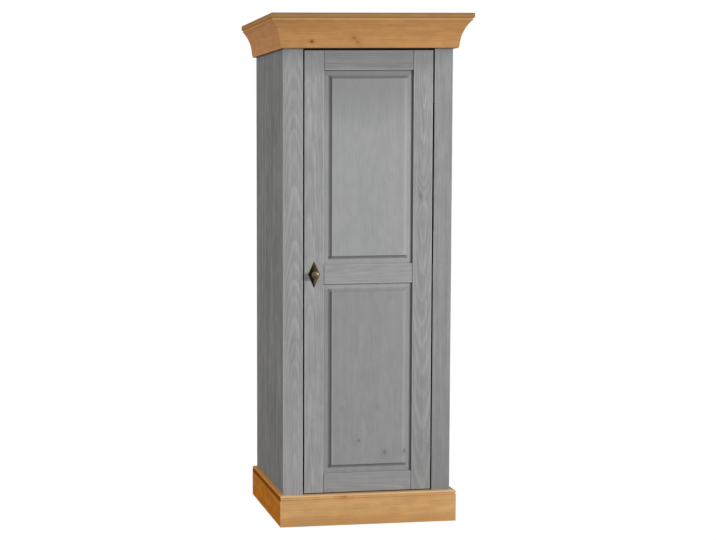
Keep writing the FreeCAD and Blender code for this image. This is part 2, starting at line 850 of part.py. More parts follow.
def panel_steps(edge, inward):
    """Profile of a panel's border from its tongue to its field, seen along the edge.

    The edge is the frame's edge beside the panel, and inward is -1 or 1.
    """
    bevel_end = edge + bevel_width * inward
    cove_end = bevel_end + panel_cove_width * inward
    riser_end = cove_end + riser_width * inward
    sag = panel_cove_sag * inward
    return [(edge - tongue_reach * inward, tongue_front), (edge, tongue_front),
            (bevel_end, bevel_in), (cove_end, cove_in, sag), (riser_end, field_front)]


def make_door_panel(name, low, high):
    """A raised panel: its plan padded upward, then its two ends cut to the same border."""
    body = new_body(name)
    left = panel_steps(-door_inner, 1)
    right = panel_steps(door_inner, -1)
    flipped = [right[4], right[3][:2], right[2] + (-right[3][2],), right[1], right[0]]
    reach = door_inner + tongue_reach
    plan = [(-reach, tongue_back)] + left + flipped + [(reach, tongue_back)]
    bottom = low - tongue_reach
    top = high + tongue_reach
    sketch = outline(body, f"{name}_plan", "XY_Plane", plan, bottom)
    pad(body, sketch, top - bottom)
    for edge, inward, end in ((low, 1, bottom), (high, -1, top)):
        steps = panel_steps(edge, inward)
        ahead = field_front - cut_over
        waste = [(point[1], point[0]) for point in steps]
        waste[3] += (-steps[3][2],)
        waste = [(ahead, end), *waste, (ahead, steps[4][0])]
        cut = outline(body, f"{name}_end", "YZ_Plane", waste, -reach - cut_over)
        pocket(body, cut, (reach + cut_over) * 2, flip=True)
    return body


keep(make_door_panel("door_panel_upper", middle_high, top_low))
keep(make_door_panel("door_panel_lower", bottom_high, middle_low))

# Ease the face frame's front edges once its other cuts are placed
for body in (doc.getObject("face_stile_left"), hinge_side_stile):
    ease(body, arris_radius, lambda edge: front_edge(edge, "Z") and edge.Length > crown_low.value
         and abs(abs(edge.BoundBox.XMin) - opening_half.value) < NEAR)
    ease(body, corner_radius, lambda edge: front_edge(edge, "Z") and edge.Length > crown_low.value
         and abs(abs(edge.BoundBox.XMin) - body_half.value) < NEAR)


def make_leaf(name, side, height):
    """A hinge leaf with its knuckles: the middle one on the door, the outer two on the stile."""
    low = height - hinge_height / 2
    third = hinge_height / 3
    edge = door_half if side < 0 else opening_half
    plate = (edge - leaf_depth, leaf_faces[side]) if side < 0 else (leaf_faces[side],
                                                                   edge + leaf_depth)
    body = board(name, plate, leaf_y, (low, low + hinge_height))
    if side < 0:
        spans = [(low + third + knuckle_gap / 2, low + third * 2 - knuckle_gap / 2)]
        web = (plate[0], axis_x)
        way = "-X"
    else:
        spans = [(low, low + third - knuckle_gap / 2),
                 (low + third * 2 + knuckle_gap / 2, low + hinge_height)]
        web = (axis_x, plate[1])
        way = "+X"
    for span in spans:
        knuckle = body.newObject("PartDesign::AdditiveCylinder", f"{name}_knuckle")
        bind(knuckle, Radius=knuckle_radius, Height=span[1] - span[0])
        aim(knuckle, (axis_x, axis_y, span[0]), "+Z")
        add_box(body, web, (axis_y + web_front, axis_y + knuckle_radius), span)
    drill(body, (axis_x, axis_y, low - cut_over), "+Z", hinge_bore_radius,
          hinge_height + cut_over * 2)
    start = (leaf_faces[side], hinge_screw_y, height - hinge_screw_spread)
    hole = drill(body, start, way, screw_radius + fit_gap, leaf_depth + leaf_proud)
    along(hole, hinge_screw_spread, SCREWS_PER_LEAF)
    wide = sink(body, start, way)
    along(wide, hinge_screw_spread, SCREWS_PER_LEAF)
    return body


for number, height in enumerate(hinge_heights, 1):
    keep(make_leaf(f"hinge_leaf_door_{number}", -1, height))
    keep(make_leaf(f"hinge_leaf_frame_{number}", 1, height))

hinge_pins = []
for height in hinge_heights:
    rod = doc.addObject("Part::Cylinder", "hinge_rod")
    bind(rod, Radius=hinge_pin_radius, Height=hinge_height)
    aim(rod, (axis_x, axis_y, height - hinge_height / 2), "+Z")
    hinge_pins.append(rod)
keep(group("hinge_pins", hinge_pins))

for side, way, name in ((-1, "-X", "hinge_screws_door"), (1, "+X", "hinge_screws_frame")):
    screws = [screw("hinge_screw", (leaf_faces[side], hinge_screw_y,
                                    height + hinge_screw_spread * step), way, hinge_screw_length)
              for height in hinge_heights for step in (-1, 0, 1)]
    keep(group(name, screws))


# Knob on its lozenge plate
def lozenge(share):
    """Corners of the plate's lozenge at a share of its full size."""
    half_width = plate_width / 2 * share
    half_height = plate_height / 2 * share
    return [(knob_x - half_width, middle_rail_centre), (knob_x, middle_rail_centre - half_height),
            (knob_x + half_width, middle_rail_centre), (knob_x, middle_rail_centre + half_height)]


plate = new_body("knob_plate")
plate_foot = outline(plate, "plate_foot", "XZ_Plane", lozenge(1), -front)
pad(plate, plate_foot, plate_edge)
loft_base = outline(plate, "plate_base", "XZ_Plane", lozenge(1), -front + plate_edge)
loft_top = outline(plate, "plate_top", "XZ_Plane", lozenge(plate_top_share),
                   -front + plate_edge + plate_rise)
loft = plate.newObject("PartDesign::AdditiveLoft", "plate_pyramid")
loft.Profile = loft_base
loft.Sections = [loft_top]
loft.Ruled = True
plate_front = front - plate_edge - plate_rise
drill(plate, (knob_x, plate_front + plate_rise * plate_seat_share, middle_rail_centre), "-Y",
      knob_foot_radius + fit_gap, plate_rise)
drill(plate, (knob_x, front + cut_over, middle_rail_centre), "-Y", knob_screw_radius + fit_gap,
      plate_edge + plate_rise + cut_over * 2)
keep(plate)

knob_seat = plate_rise * plate_seat_share + plate_edge
knob = new_body("knob")
head_low = knob_length - knob_head_height
widest = head_low + knob_head_height * knob_widest_share
face_radius = knob_radius * knob_face_share
bore_radius = knob_screw_radius + fit_gap
knob_points = [
    (bore_radius, knob_seat),
    (knob_foot_radius, knob_seat),
    (knob_foot_radius, knob_seat + knob_foot_height),
    (knob_neck_radius, head_low, knob_foot_height / 2),
    (knob_radius, widest, -knob_foot_height),
    (face_radius, knob_length - knob_foot_height / 2, -knob_foot_height * knob_rim_share),
    (knob_radius * knob_flat_share, knob_length, -knob_foot_height * knob_dome_share),
    (zero, knob_length),
    (zero, knob_seat + knob_screw_grip),
    (bore_radius, knob_seat + knob_screw_grip),
]
knob_sketch = outline(knob, "knob_profile", "XY_Plane", knob_points)
turned = knob.newObject("PartDesign::Revolution", "knob_turned")
turned.Profile = knob_sketch
turned.ReferenceAxis = (knob_sketch, ["V_Axis"])
turned.Angle = 360
knob.Placement = FreeCAD.Placement(FreeCAD.Vector(), FreeCAD.Rotation(FreeCAD.Vector(0, 0, 1), 180))
bind(knob, Placement__Base__x=knob_x, Placement__Base__y=front,
     Placement__Base__z=middle_rail_centre)
keep(knob)

# Machine screw from the back of the stile into the knob
shank = doc.addObject("Part::Cylinder", "knob_screw_shank")
bind(shank, Radius=knob_screw_radius, Height=door_thickness + knob_seat + knob_screw_grip)
aim(shank, (knob_x, door_back, middle_rail_centre), "-Y")
head = doc.addObject("Part::Cylinder", "knob_screw_head")
bind(head, Radius=knob_screw_head_radius, Height=knob_screw_head_height)
aim(head, (knob_x, door_back, middle_rail_centre), "+Y")
knob_screw = doc.addObject("Part::Fuse", "knob_screw")
knob_screw.Base = shank
knob_screw.Tool = head
knob_screw.Label = "knob_screw"
keep(knob_screw)


# Magnetic catch under the ceiling panel and its strike on the door
catch = board("catch_housing", (catch_left, catch_right), (catch_front, catch_front + catch_depth),
              (catch_low, ceiling_low))
magnet_span = (catch_left + catch_screw_inset * 2, catch_right - catch_screw_inset * 2)
magnet_low = catch_low + (catch_height - catch_magnet_height) / 2
magnet_up = (magnet_low, magnet_low + catch_magnet_height)
cut_box(catch, magnet_span, (catch_front - cut_over, catch_front + catch_magnet_depth), magnet_up)
for across, deep in catch_screw_ways:
    drill(catch, (across, deep, catch_low), "+Z", screw_radius + fit_gap, catch_height)
    sink(catch, (across, deep, catch_low), "+Z")
keep(catch)
keep(board("catch_magnet", magnet_span, (catch_front, catch_front + catch_magnet_depth), magnet_up))
keep(group("catch_screws", [screw("catch_screw", (across, deep, catch_low), "+Z",
                                  catch_screw_length) for across, deep in catch_screw_ways]))

strike_middle = ((catch_left + catch_right) / 2, (magnet_up[0] + magnet_up[1]) / 2)
strike = board("catch_strike",
               (strike_middle[0] - strike_length / 2, strike_middle[0] + strike_length / 2),
               (door_back, door_back + strike_thickness),
               (strike_middle[1] - strike_height / 2, strike_middle[1] + strike_height / 2))
strike_start = (strike_middle[0], door_back, strike_middle[1])
drill(strike, strike_start, "+Y", screw_radius + fit_gap, strike_thickness)
keep(strike)
pin = doc.addObject("Part::Cylinder", "strike_shank")
bind(pin, Radius=screw_radius, Height=strike_screw_length + strike_thickness)
aim(pin, (strike_middle[0], door_back + strike_thickness, strike_middle[1]), "-Y")
strike_screw = group("strike_screw", [pin])
drill(rail_top, strike_start, "-Y", screw_radius + fit_gap, strike_screw_length)
keep(strike_screw)

doc.recompute()

# Every feature and every piece has to be sound before anything is written
for item in doc.Objects:
    if "Invalid" in item.State or "Error" in item.State:
        raise RuntimeError(f"{item.Name} failed: {item.State}")
for piece in nodes:
    if piece.Shape.isNull() or not piece.Shape.isValid():
        raise RuntimeError(f"{piece.Label} has no valid shape")

os.makedirs("parts", exist_ok=True)
for piece in nodes:
    piece.Shape.exportStep(f"parts/{piece.Label}.step")
print(f"{len(nodes)} pieces written")
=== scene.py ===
"""Panelled pine cupboard: finishes, fittings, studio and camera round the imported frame.

Metres throughout; +X right, -Y to the front, +Z up; the floor is z = 0.
"""
import logging
import math
from dataclasses import dataclass
from enum import Enum
from typing import Iterable, Mapping, Sequence, Union

import bmesh
import bpy
from mathutils import Matrix, Vector


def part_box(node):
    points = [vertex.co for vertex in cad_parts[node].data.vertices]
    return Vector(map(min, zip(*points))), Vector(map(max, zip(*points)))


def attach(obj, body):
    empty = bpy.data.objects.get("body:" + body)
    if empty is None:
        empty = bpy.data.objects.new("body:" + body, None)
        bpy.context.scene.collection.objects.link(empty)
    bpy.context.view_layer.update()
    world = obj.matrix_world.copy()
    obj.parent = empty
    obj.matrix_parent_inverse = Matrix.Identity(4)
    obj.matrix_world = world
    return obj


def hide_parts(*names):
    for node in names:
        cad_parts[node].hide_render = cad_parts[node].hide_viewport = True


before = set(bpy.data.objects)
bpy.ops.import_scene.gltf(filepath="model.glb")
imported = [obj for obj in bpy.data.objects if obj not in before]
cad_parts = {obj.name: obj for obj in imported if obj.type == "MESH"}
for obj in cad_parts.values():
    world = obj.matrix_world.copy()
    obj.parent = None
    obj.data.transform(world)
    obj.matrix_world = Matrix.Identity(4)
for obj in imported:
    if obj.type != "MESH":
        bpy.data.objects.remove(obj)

logging.basicConfig(level=logging.INFO, format="%(name)s: %(message)s")
log = logging.getLogger("cupboard")

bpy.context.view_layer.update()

Socket = bpy.types.NodeSocket
Node = bpy.types.Node
NodeTree = bpy.types.NodeTree
Material = bpy.types.Material
Value = Union[Socket, float, tuple]
Colour = tuple[float, float, float]
Place = tuple[float, float, float]
Span = tuple[float, float]
Weave = tuple[float, float, float, float]

FLOAT = "NodeSocketFloat"
VECTOR = "NodeSocketVector"
WHOLE = "NodeSocketInt"
GEOMETRY = "NodeSocketGeometry"
UNUSED_MIXES = (None,) * 5
MIX_RESULT = 2

ORIGIN = (0.0, 0.0, 0.0)
WHITE = (1.0, 1.0, 1.0)
FAR = 9.0
ALL: Span = (-FAR, FAR)


class Graph:
    """Writes one node tree, whether of a material, a world, a group or a modifier."""

    def __init__(self, tree: NodeTree) -> None:
        """Keep the tree that is written into."""
        self.tree = tree

    @classmethod
    def blank(cls, data: Union[Material, bpy.types.World]) -> "Graph":
        """Empty the node tree of a material or a world.

        Args:
            data: What the tree belongs to.

        Returns:
            The graph of the tree.
        """
        data.use_nodes = True
        data.node_tree.nodes.clear()
        return cls(data.node_tree)

    def node(self, kind: str, *values: Union[Value, None], **settings: object) -> Node:
        """Add a node, set its options and feed its first inputs.

        Args:
            kind: The node's type name.
            values: What the first inputs get, in their order; None leaves one as it is.
            settings: Options of the node by attribute name.

        Returns:
            The new node.
        """
        made = self.tree.nodes.new(kind)
        for name, value in settings.items():
            setattr(made, name, value)
        for entry, value in zip(made.inputs, values):
            if value is not None:
                self.feed(entry, value)
        return made

    def feed(self, entry: Socket, value: Value) -> None:
        """Link a socket to an input, or set the input to a plain value.

        Args:
            entry: The input.
            value: What it gets.
        """
        if isinstance(value, Socket):
            self.tree.links.new(value, entry)
        elif entry.type == "RGBA":
            entry.default_value = (*value, 1.0)
        else:
            entry.default_value = value

    def fill(self, made: Node, **inputs: Value) -> Node:
        """Feed a node's inputs by name, with underscores for spaces.

        Args:
            made: The node.
            inputs: Sockets or values by input name.

        Returns:
            The same node.
        """
        for name, value in inputs.items():
            self.feed(made.inputs[name.replace("_", " ")], value)
        return made

    def math(self, operation: str, *values: Value) -> Socket:
        """Add a Math node with its operands."""
        return self.node("ShaderNodeMath", *values, operation=operation).outputs[0]

    def add(self, first: Value, second: Value) -> Socket:
        """Add two values."""
        return self.math("ADD", first, second)

    def sub(self, first: Value, second: Value) -> Socket:
        """Take the second value from the first."""
        return self.math("SUBTRACT", first, second)

    def mul(self, first: Value, second: Value) -> Socket:
        """Multiply two values."""
        return self.math("MULTIPLY", first, second)

    def mad(self, value: Value, factor: Value, plus: Value) -> Socket:
        """Multiply a value by a factor and add to it."""
        return self.math("MULTIPLY_ADD", value, factor, plus)

    def vector(self, operation: str, *values: Value, result: str = "Vector") -> Socket:
        """Add a Vector Math node, whose result is its Vector or its Value."""
        return self.node("ShaderNodeVectorMath", *values, operation=operation).outputs[result]

    def scale(self, vector: Value, factor: Value) -> Socket:
        """Scale a vector or a colour by a factor."""
        made = self.node("ShaderNodeVectorMath", vector, operation="SCALE")
        return self.fill(made, Scale=factor).outputs["Vector"]

    def ease(self, value: Value, low: Value, high: Value,
             out_low: Value = 0.0, out_high: Value = 1.0) -> Socket:
        """Step smoothly from out_low to out_high while a value goes from low to high."""
        return self.node("ShaderNodeMapRange", value, low, high, out_low, out_high,
                         interpolation_type="SMOOTHSTEP").outputs[0]

    def fade(self, value: Value, low: Value, high: Value) -> Socket:
        """Step smoothly from 1 to 0 while a value goes from low to high."""
        return self.ease(value, low, high, 1.0, 0.0)

    def swing(self, value: Value, amount: float, low: float = 0.0, high: float = 1.0) -> Socket:
        """Turn a pattern into a factor that swings about 1 by an amount."""
        return self.ease(value, low, high, 1.0 - amount, 1.0 + amount)

    def blend(self, factor: Value, first: Value, second: Value) -> Socket:
        """Mix two colours, the first at a factor of 0 and the second at 1."""
        return self.node("ShaderNodeMix", factor, *UNUSED_MIXES, first, second,
                         data_type="RGBA").outputs[MIX_RESULT]

    def noise(self, vector: Value, scale: float, detail: float, roughness: float) -> Node:
        """Add a noise texture, with its Fac and Color outputs."""
        made = self.node("ShaderNodeTexNoise", vector)
        return self.fill(made, Scale=scale, Detail=detail, Roughness=roughness)

    def split(self, vector: Value) -> Sequence[Socket]:
        """Split a vector into its three parts."""
        return tuple(self.node("ShaderNodeSeparateXYZ", vector).outputs)

    def join(self, *parts: Value) -> Socket:
        """Join three values into a vector."""
        return self.node("ShaderNodeCombineXYZ", *parts).outputs[0]

    def grain(self, parts: Sequence[Socket], weave: Weave, shift: Value, seed: Value) -> Node:
        """Add a noise that is drawn out along the grain.

        Args:
            parts: The place across the board, through it and along its grain.
            weave: Its frequency across and along the grain, its octaves and its roughness.
            shift: How far it is moved across.
            seed: How far it is moved along.

        Returns:
            The noise node.
        """
        across, deep, along = parts
        fine, long, detail, roughness = weave
        place = self.join(self.mad(across, fine, shift), self.mul(deep, fine),
                          self.mad(along, long, seed))
        return self.noise(place, 1.0, detail, roughness)

    def mix(self, factor: Value, first: Node, second: Node) -> Node:
        """Mix two shaders, the first at 0 and the second at 1."""
        return self.node("ShaderNodeMixShader", factor, first.outputs[0], second.outputs[0])

    def show(self, shader: Node, kind: str = "Material") -> None:
        """Put out a shader as the surface of a material or a world."""
        self.node(f"ShaderNodeOutput{kind}", shader.outputs[0])

    def skin(self, relief: float, strength: float, height: Socket, **inputs: Value) -> None:
        """Put out a Principled surface with a fine relief.

        Args:
            relief: How high the relief is.
            strength: How strongly it shows.
            height: Its pattern.
            inputs: Inputs of the shader by name.
        """
        bump = self.node("ShaderNodeBump")
        self.fill(bump, Strength=strength, Distance=relief, Height=height)
        shader = self.node("ShaderNodeBsdfPrincipled")
        self.show(self.fill(shader, Normal=bump.outputs["Normal"], **inputs))


class ShaderGroup(Graph):
    """A shader node group that several finishes share, built once on first use."""

    title = ""
    entries: Mapping[str, Value] = {}
    exits: tuple[str, ...] = ()

    def __init__(self, tree: NodeTree) -> None:
        """Keep the group's tree and its inputs by name."""
        super().__init__(tree)
        self.given = self.node("NodeGroupInput").outputs

    @classmethod
    def group(cls) -> NodeTree:
        """Find the node group, or build it.

        Returns:
            The node group.
        """
        found = bpy.data.node_groups.get(cls.title)
        if found:
            return found
        made = bpy.data.node_groups.new(cls.title, "ShaderNodeTree")
        for name, start in cls.entries.items():
            kind = VECTOR if isinstance(start, tuple) else FLOAT
            entry = made.interface.new_socket(name, in_out="INPUT", socket_type=kind)
            entry.default_value = start
        for name in cls.exits:
            made.interface.new_socket(name, in_out="OUTPUT", socket_type=FLOAT)
        inside = cls(made)
        inside.node("NodeGroupOutput", *inside.write())
        return made

    def write(self) -> Sequence[Socket]:
        """Write the group's inside and return what it puts out, in the order of its exits."""
        raise NotImplementedError

    @classmethod
    def place(cls, graph: Graph, **inputs: Value) -> Mapping[str, Socket]:
        """Put the group in a material with its own values, and give its outputs by name."""
        return graph.fill(graph.node("ShaderNodeGroup", node_tree=cls.group()), **inputs).outputs


class GrowthRings(ShaderGroup):
    """Growth rings round a leaning pith, cut by the board's face into lines and arches."""

    title = "growth_rings"
    entries = {"Vector": ORIGIN, "Pith": (0.0, 0.05, 0.0), "Taper": 0.05, "Ring Width": 0.006,
               "Sway": 0.02, "Seed": 0.0, "Swirl": 0.0}
    exits = ("Rings",)
    seed_step = 3.17
    mean = (0.5, 0.5, 0.5)
    bend = (5.0, 1.6, 2.0, 0.45)
    shake = (26.0, 7.0, 2.0, 0.5)
    shake_share = 0.16
    late_wood = (0.3, 0.86)
    winter = (0.9, 1.0)
    palest_year = 0.4

    def write(self) -> Sequence[Socket]:
        """Write the ring pattern.

        Returns:
            How strong the late wood is.
        """
        parts = self.split(self.given["Vector"])
        across, deep, along = parts
        seed = self.given["Seed"]
        shift = self.mul(seed, self.seed_step)
        moved = ORIGIN
        for weave, share in ((self.bend, 1.0), (self.shake, self.shake_share)):
            drift = self.grain(parts, weave, shift, seed).outputs["Color"]
            drift = self.vector("SUBTRACT", drift, self.mean)
            drift = self.scale(drift, self.mul(self.given["Sway"], share))
            moved = self.vector("ADD", moved, drift)
        side, depth, _ = self.split(moved)
        pith_side, pith_deep, _ = self.split(self.given["Pith"])
        reach = self.sub(self.add(across, side), pith_side)
        sunk = self.mad(along, self.given["Taper"], pith_deep)
        sunk = self.add(self.add(sunk, deep), depth)
        radius = self.math("SQRT", self.mad(reach, reach, self.mul(sunk, sunk)))
        phase = self.math("DIVIDE", radius, self.given["Ring Width"])
        phase = self.add(phase, self.given["Swirl"])
        within = self.math("FRACT", phase)
        year = self.node("ShaderNodeTexWhiteNoise", noise_dimensions="1D")
        self.fill(year, W=self.math("FLOOR", phase))
        strength = self.mad(year.outputs["Value"], 1.0 - self.palest_year, self.palest_year)
        late = self.mul(self.ease(within, *self.late_wood), self.fade(within, *self.winter))
        return [self.mul(late, strength)]


class Fibres(ShaderGroup):
    """Streaks along the grain at three widths, broad clouds of tone and a small mottle."""

    title = "fibres"
    entries = {"Vector": ORIGIN, "Seed": 0.0}
    weaves = {
        "Fine": (1100.0, 22.0, 3.0, 0.55), "Streak": (300.0, 5.0, 3.0, 0.55),
        "Broad": (62.0, 1.6, 2.0, 0.55), "Cloud": (9.0, 3.0, 3.0, 0.55),
        "Mottle": (30.0, 16.0, 3.0, 0.55),
    }
    exits = tuple(weaves)
    contrast = (0.28, 0.72)

    def write(self) -> Sequence[Socket]:
        """Write the patterns.

        Returns:
            The streaks of each width, the clouds and the mottle.
        """
        parts = self.split(self.given["Vector"])
        seed = self.given["Seed"]
        return [self.ease(self.grain(parts, weave, seed, seed).outputs["Fac"], *self.contrast)
                for weave in self.weaves.values()]


class Knot(ShaderGroup):
    """One knot: a dark core, a stained halo and a swirl that turns the rings round it."""

    title = "knot"
    entries = {"Vector": ORIGIN, "Centre": ORIGIN, "Radius": 0.006, "Swirl": 1.2}
    exits = ("Core", "Halo", "Turn")
    squash = (1.0, 0.0, 0.72)
    rim_noise = (260.0, 2.0, 0.6)
    ragged = 0.7
    core = (0.55, 1.15)
    halo = (0.6, 3.4)
    turned = (0.0, 6.0)

    def write(self) -> Sequence[Socket]:
        """Write the knot.

        Returns:
            The core, the halo and how far the rings are turned.
        """
        away = self.vector("SUBTRACT", self.given["Vector"], self.given["Centre"])
        far = self.vector("LENGTH", self.vector("MULTIPLY", away, self.squash), result="Value")
        rim = self.noise(self.given["Vector"], *self.rim_noise).outputs["Fac"]
        reach = self.add(self.math("DIVIDE", far, self.given["Radius"]),
                         self.mad(rim, self.ragged, -self.ragged / 2))
        turn = self.mul(self.fade(reach, *self.turned), self.given["Swirl"])
        return [self.fade(reach, *self.core), self.fade(reach, *self.halo), turn]


class Boxed(ShaderGroup):
    """A group that measures a place against a box."""

    entries = {"Vector": ORIGIN, "Low": (-1.0, -1.0, -1.0), "High": WHITE}

    def gaps(self) -> Sequence[Socket]:
        """Measure how far inside the box the place is.

        Returns:
            The distance to the nearer side along each axis.
        """
        above = self.vector("SUBTRACT", self.given["Vector"], self.given["Low"])
        below = self.vector("SUBTRACT", self.given["High"], self.given["Vector"])
        return self.split(self.vector("MINIMUM", above, below))


class Arris(Boxed):
    """How near a point of a board's skin is to one of the board's edges."""

    title = "arris"
    entries = {**Boxed.entries, "Width": 0.002}
    exits = ("RubAndPaintedLight",)
    patches = (55.0, 3.0, 0.6)
    patchy = (1.5, 0.25)
    bare = 0.4

    def write(self) -> Sequence[Socket]:
        """Write the edge mask.

        Returns:
            How far the edge is lightened: wear along with a painted highlight.
        """
        gap_x, gap_y, gap_z = self.gaps()
        least = self.math("MINIMUM", gap_x, gap_y)
        most = self.math("MAXIMUM", gap_x, gap_y)
        second = self.math("MAXIMUM", least, self.math("MINIMUM", most, gap_z))
        patch = self.noise(self.given["Vector"], *self.patches).outputs["Fac"]
        reach = self.mul(self.given["Width"], self.mad(patch, *self.patchy))
        return [self.fade(second, self.mul(reach, self.bare), reach)]


class Wash(Boxed):
    """A soft-edged box of colour laid over a board: painted shade, shadow and highlights, and
    stain at knots and joints.
    """

    title = "wash"
    entries = {**Boxed.entries, "Soft": 0.001}
    exits = ("Mask",)

    def write(self) -> Sequence[Socket]:
        """Write the box's mask.

        Returns:
            The mask.
        """
        gap_x, gap_y, gap_z = self.gaps()
        least = self.math("MINIMUM", self.math("MINIMUM", gap_x, gap_y), gap_z)
        soft = self.given["Soft"]
        return [self.ease(least, self.mul(soft, -1.0), soft)]


class Lie(Enum):
    """How a board lies: world axes that run across its face, through it and along its grain."""

    UPRIGHT = ((1, 0, 0), (0, 1, 0), (0, 0, 1))
    UPRIGHT_SIDE = ((0, 1, 0), (-1, 0, 0), (0, 0, 1))
    ACROSS = ((0, 0, -1), (0, 1, 0), (1, 0, 0))
    FLAT = ((0, 1, 0), (0, 0, 1), (1, 0, 0))
    DEPTH = ((0, 0, 1), (1, 0, 0), (0, 1, 0))

    @property
    def turn(self) -> Matrix:
        """The rotation from the world to the board."""
        return Matrix(self.value)


@dataclass(frozen=True)
class KnotAt:
    """A knot by its place in the world, its radius, how dark it is and how it turns the rings."""

    place: Place
    radius: float
    depth: float = 1.0
    swirl: float = 1.2


@dataclass(frozen=True)
class WashAt:
    """A darker or paler wash by its colour, its strength, its softness and the box it fills."""

    tint: Colour
    strength: float = 1.0
    soft: float = 0.001
    x: Span = ALL
    y: Span = ALL
    z: Span = ALL

    def over(self, graph: Graph, here: Socket, tint: Value) -> Socket:
        """Lay the wash over a colour.

        Args:
            graph: The material's graph.
            here: The place in the world.
            tint: The colour under it.

        Returns:
            The washed colour.
        """
        low, high = zip(self.x, self.y, self.z)
        mask = Wash.place(graph, Vector=here, Low=low, High=high, Soft=self.soft)["Mask"]
        return graph.blend(graph.mul(mask, self.strength), tint, self.tint)


@dataclass(frozen=True)
class Board:
    """How the wood of one node was cut and how it took the stain.

    Tone and hue scale its colour, figure its rings, streak its fibres, and gloss its sheen;
    mottle is how far small patches depart from the tone.
    """

    node: str
    lie: Lie
    seed: float
    pith: Span = (0.0, 0.06)
    taper: float = 0.03
    tone: float = 1.0
    hue: Colour = WHITE
    sway: float = 0.02
    ring: float = 1.0
    figure: float = 1.0
    streak: float = 1.0
    mottle: float = 0.03
    gloss: float = 1.0
    knots: tuple[KnotAt, ...] = ()
    # Washes: painted shade, shadow and highlights, and stains at knots and joints.
    washes: tuple[WashAt, ...] = ()

    def own(self, place: Place) -> Place:
        """Turn a place in the world into the board's own, from the middle of its box."""
        low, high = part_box(self.node)
        return tuple(self.lie.turn @ (Vector(place) - (low + high) / 2))

    def stained(self, colour: Colour) -> Colour:
        """Give a colour the board's tone and hue."""
        return tuple(part * self.tone * dye for part, dye in zip(colour, self.hue))

    def laid(self, graph: Graph, here: Socket) -> Socket:
        """Turn the shaded place into the place across the board, through it and along it."""
        turn = tuple(self.lie.turn.to_euler("XYZ"))
        return graph.node("ShaderNodeMapping", here, self.own(ORIGIN), turn).outputs[0]

    def knotted(self, graph: Graph, wood: Socket) -> tuple[Value, Value, Value]:
        """Set the board's knots.

        Args:
            graph: The material's graph.
            wood: The place in the board.

        Returns:
            Their cores, their halos and how far they turn the rings.
        """
        core = halo = swirl = 0.0
        for knot in self.knots:
            spot = Knot.place(graph, Vector=wood, Centre=self.own(knot.place),
                              Radius=knot.radius, Swirl=knot.swirl)
            core = graph.math("MAXIMUM", core, graph.mul(spot["Core"], knot.depth))
            halo = graph.math("MAXIMUM", halo, graph.mul(spot["Halo"], knot.depth))
            swirl = graph.add(swirl, spot["Turn"])
        return core, halo, swirl


def clothe(node: str, material: Material) -> None:
    """Give a CAD node its material.

    Args:
        node: The node's name.
        material: What it gets.
    """
    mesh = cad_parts[node].data
    mesh.materials.clear()
    mesh.materials.append(material)
    log.info("%s in %s", node, material.name)


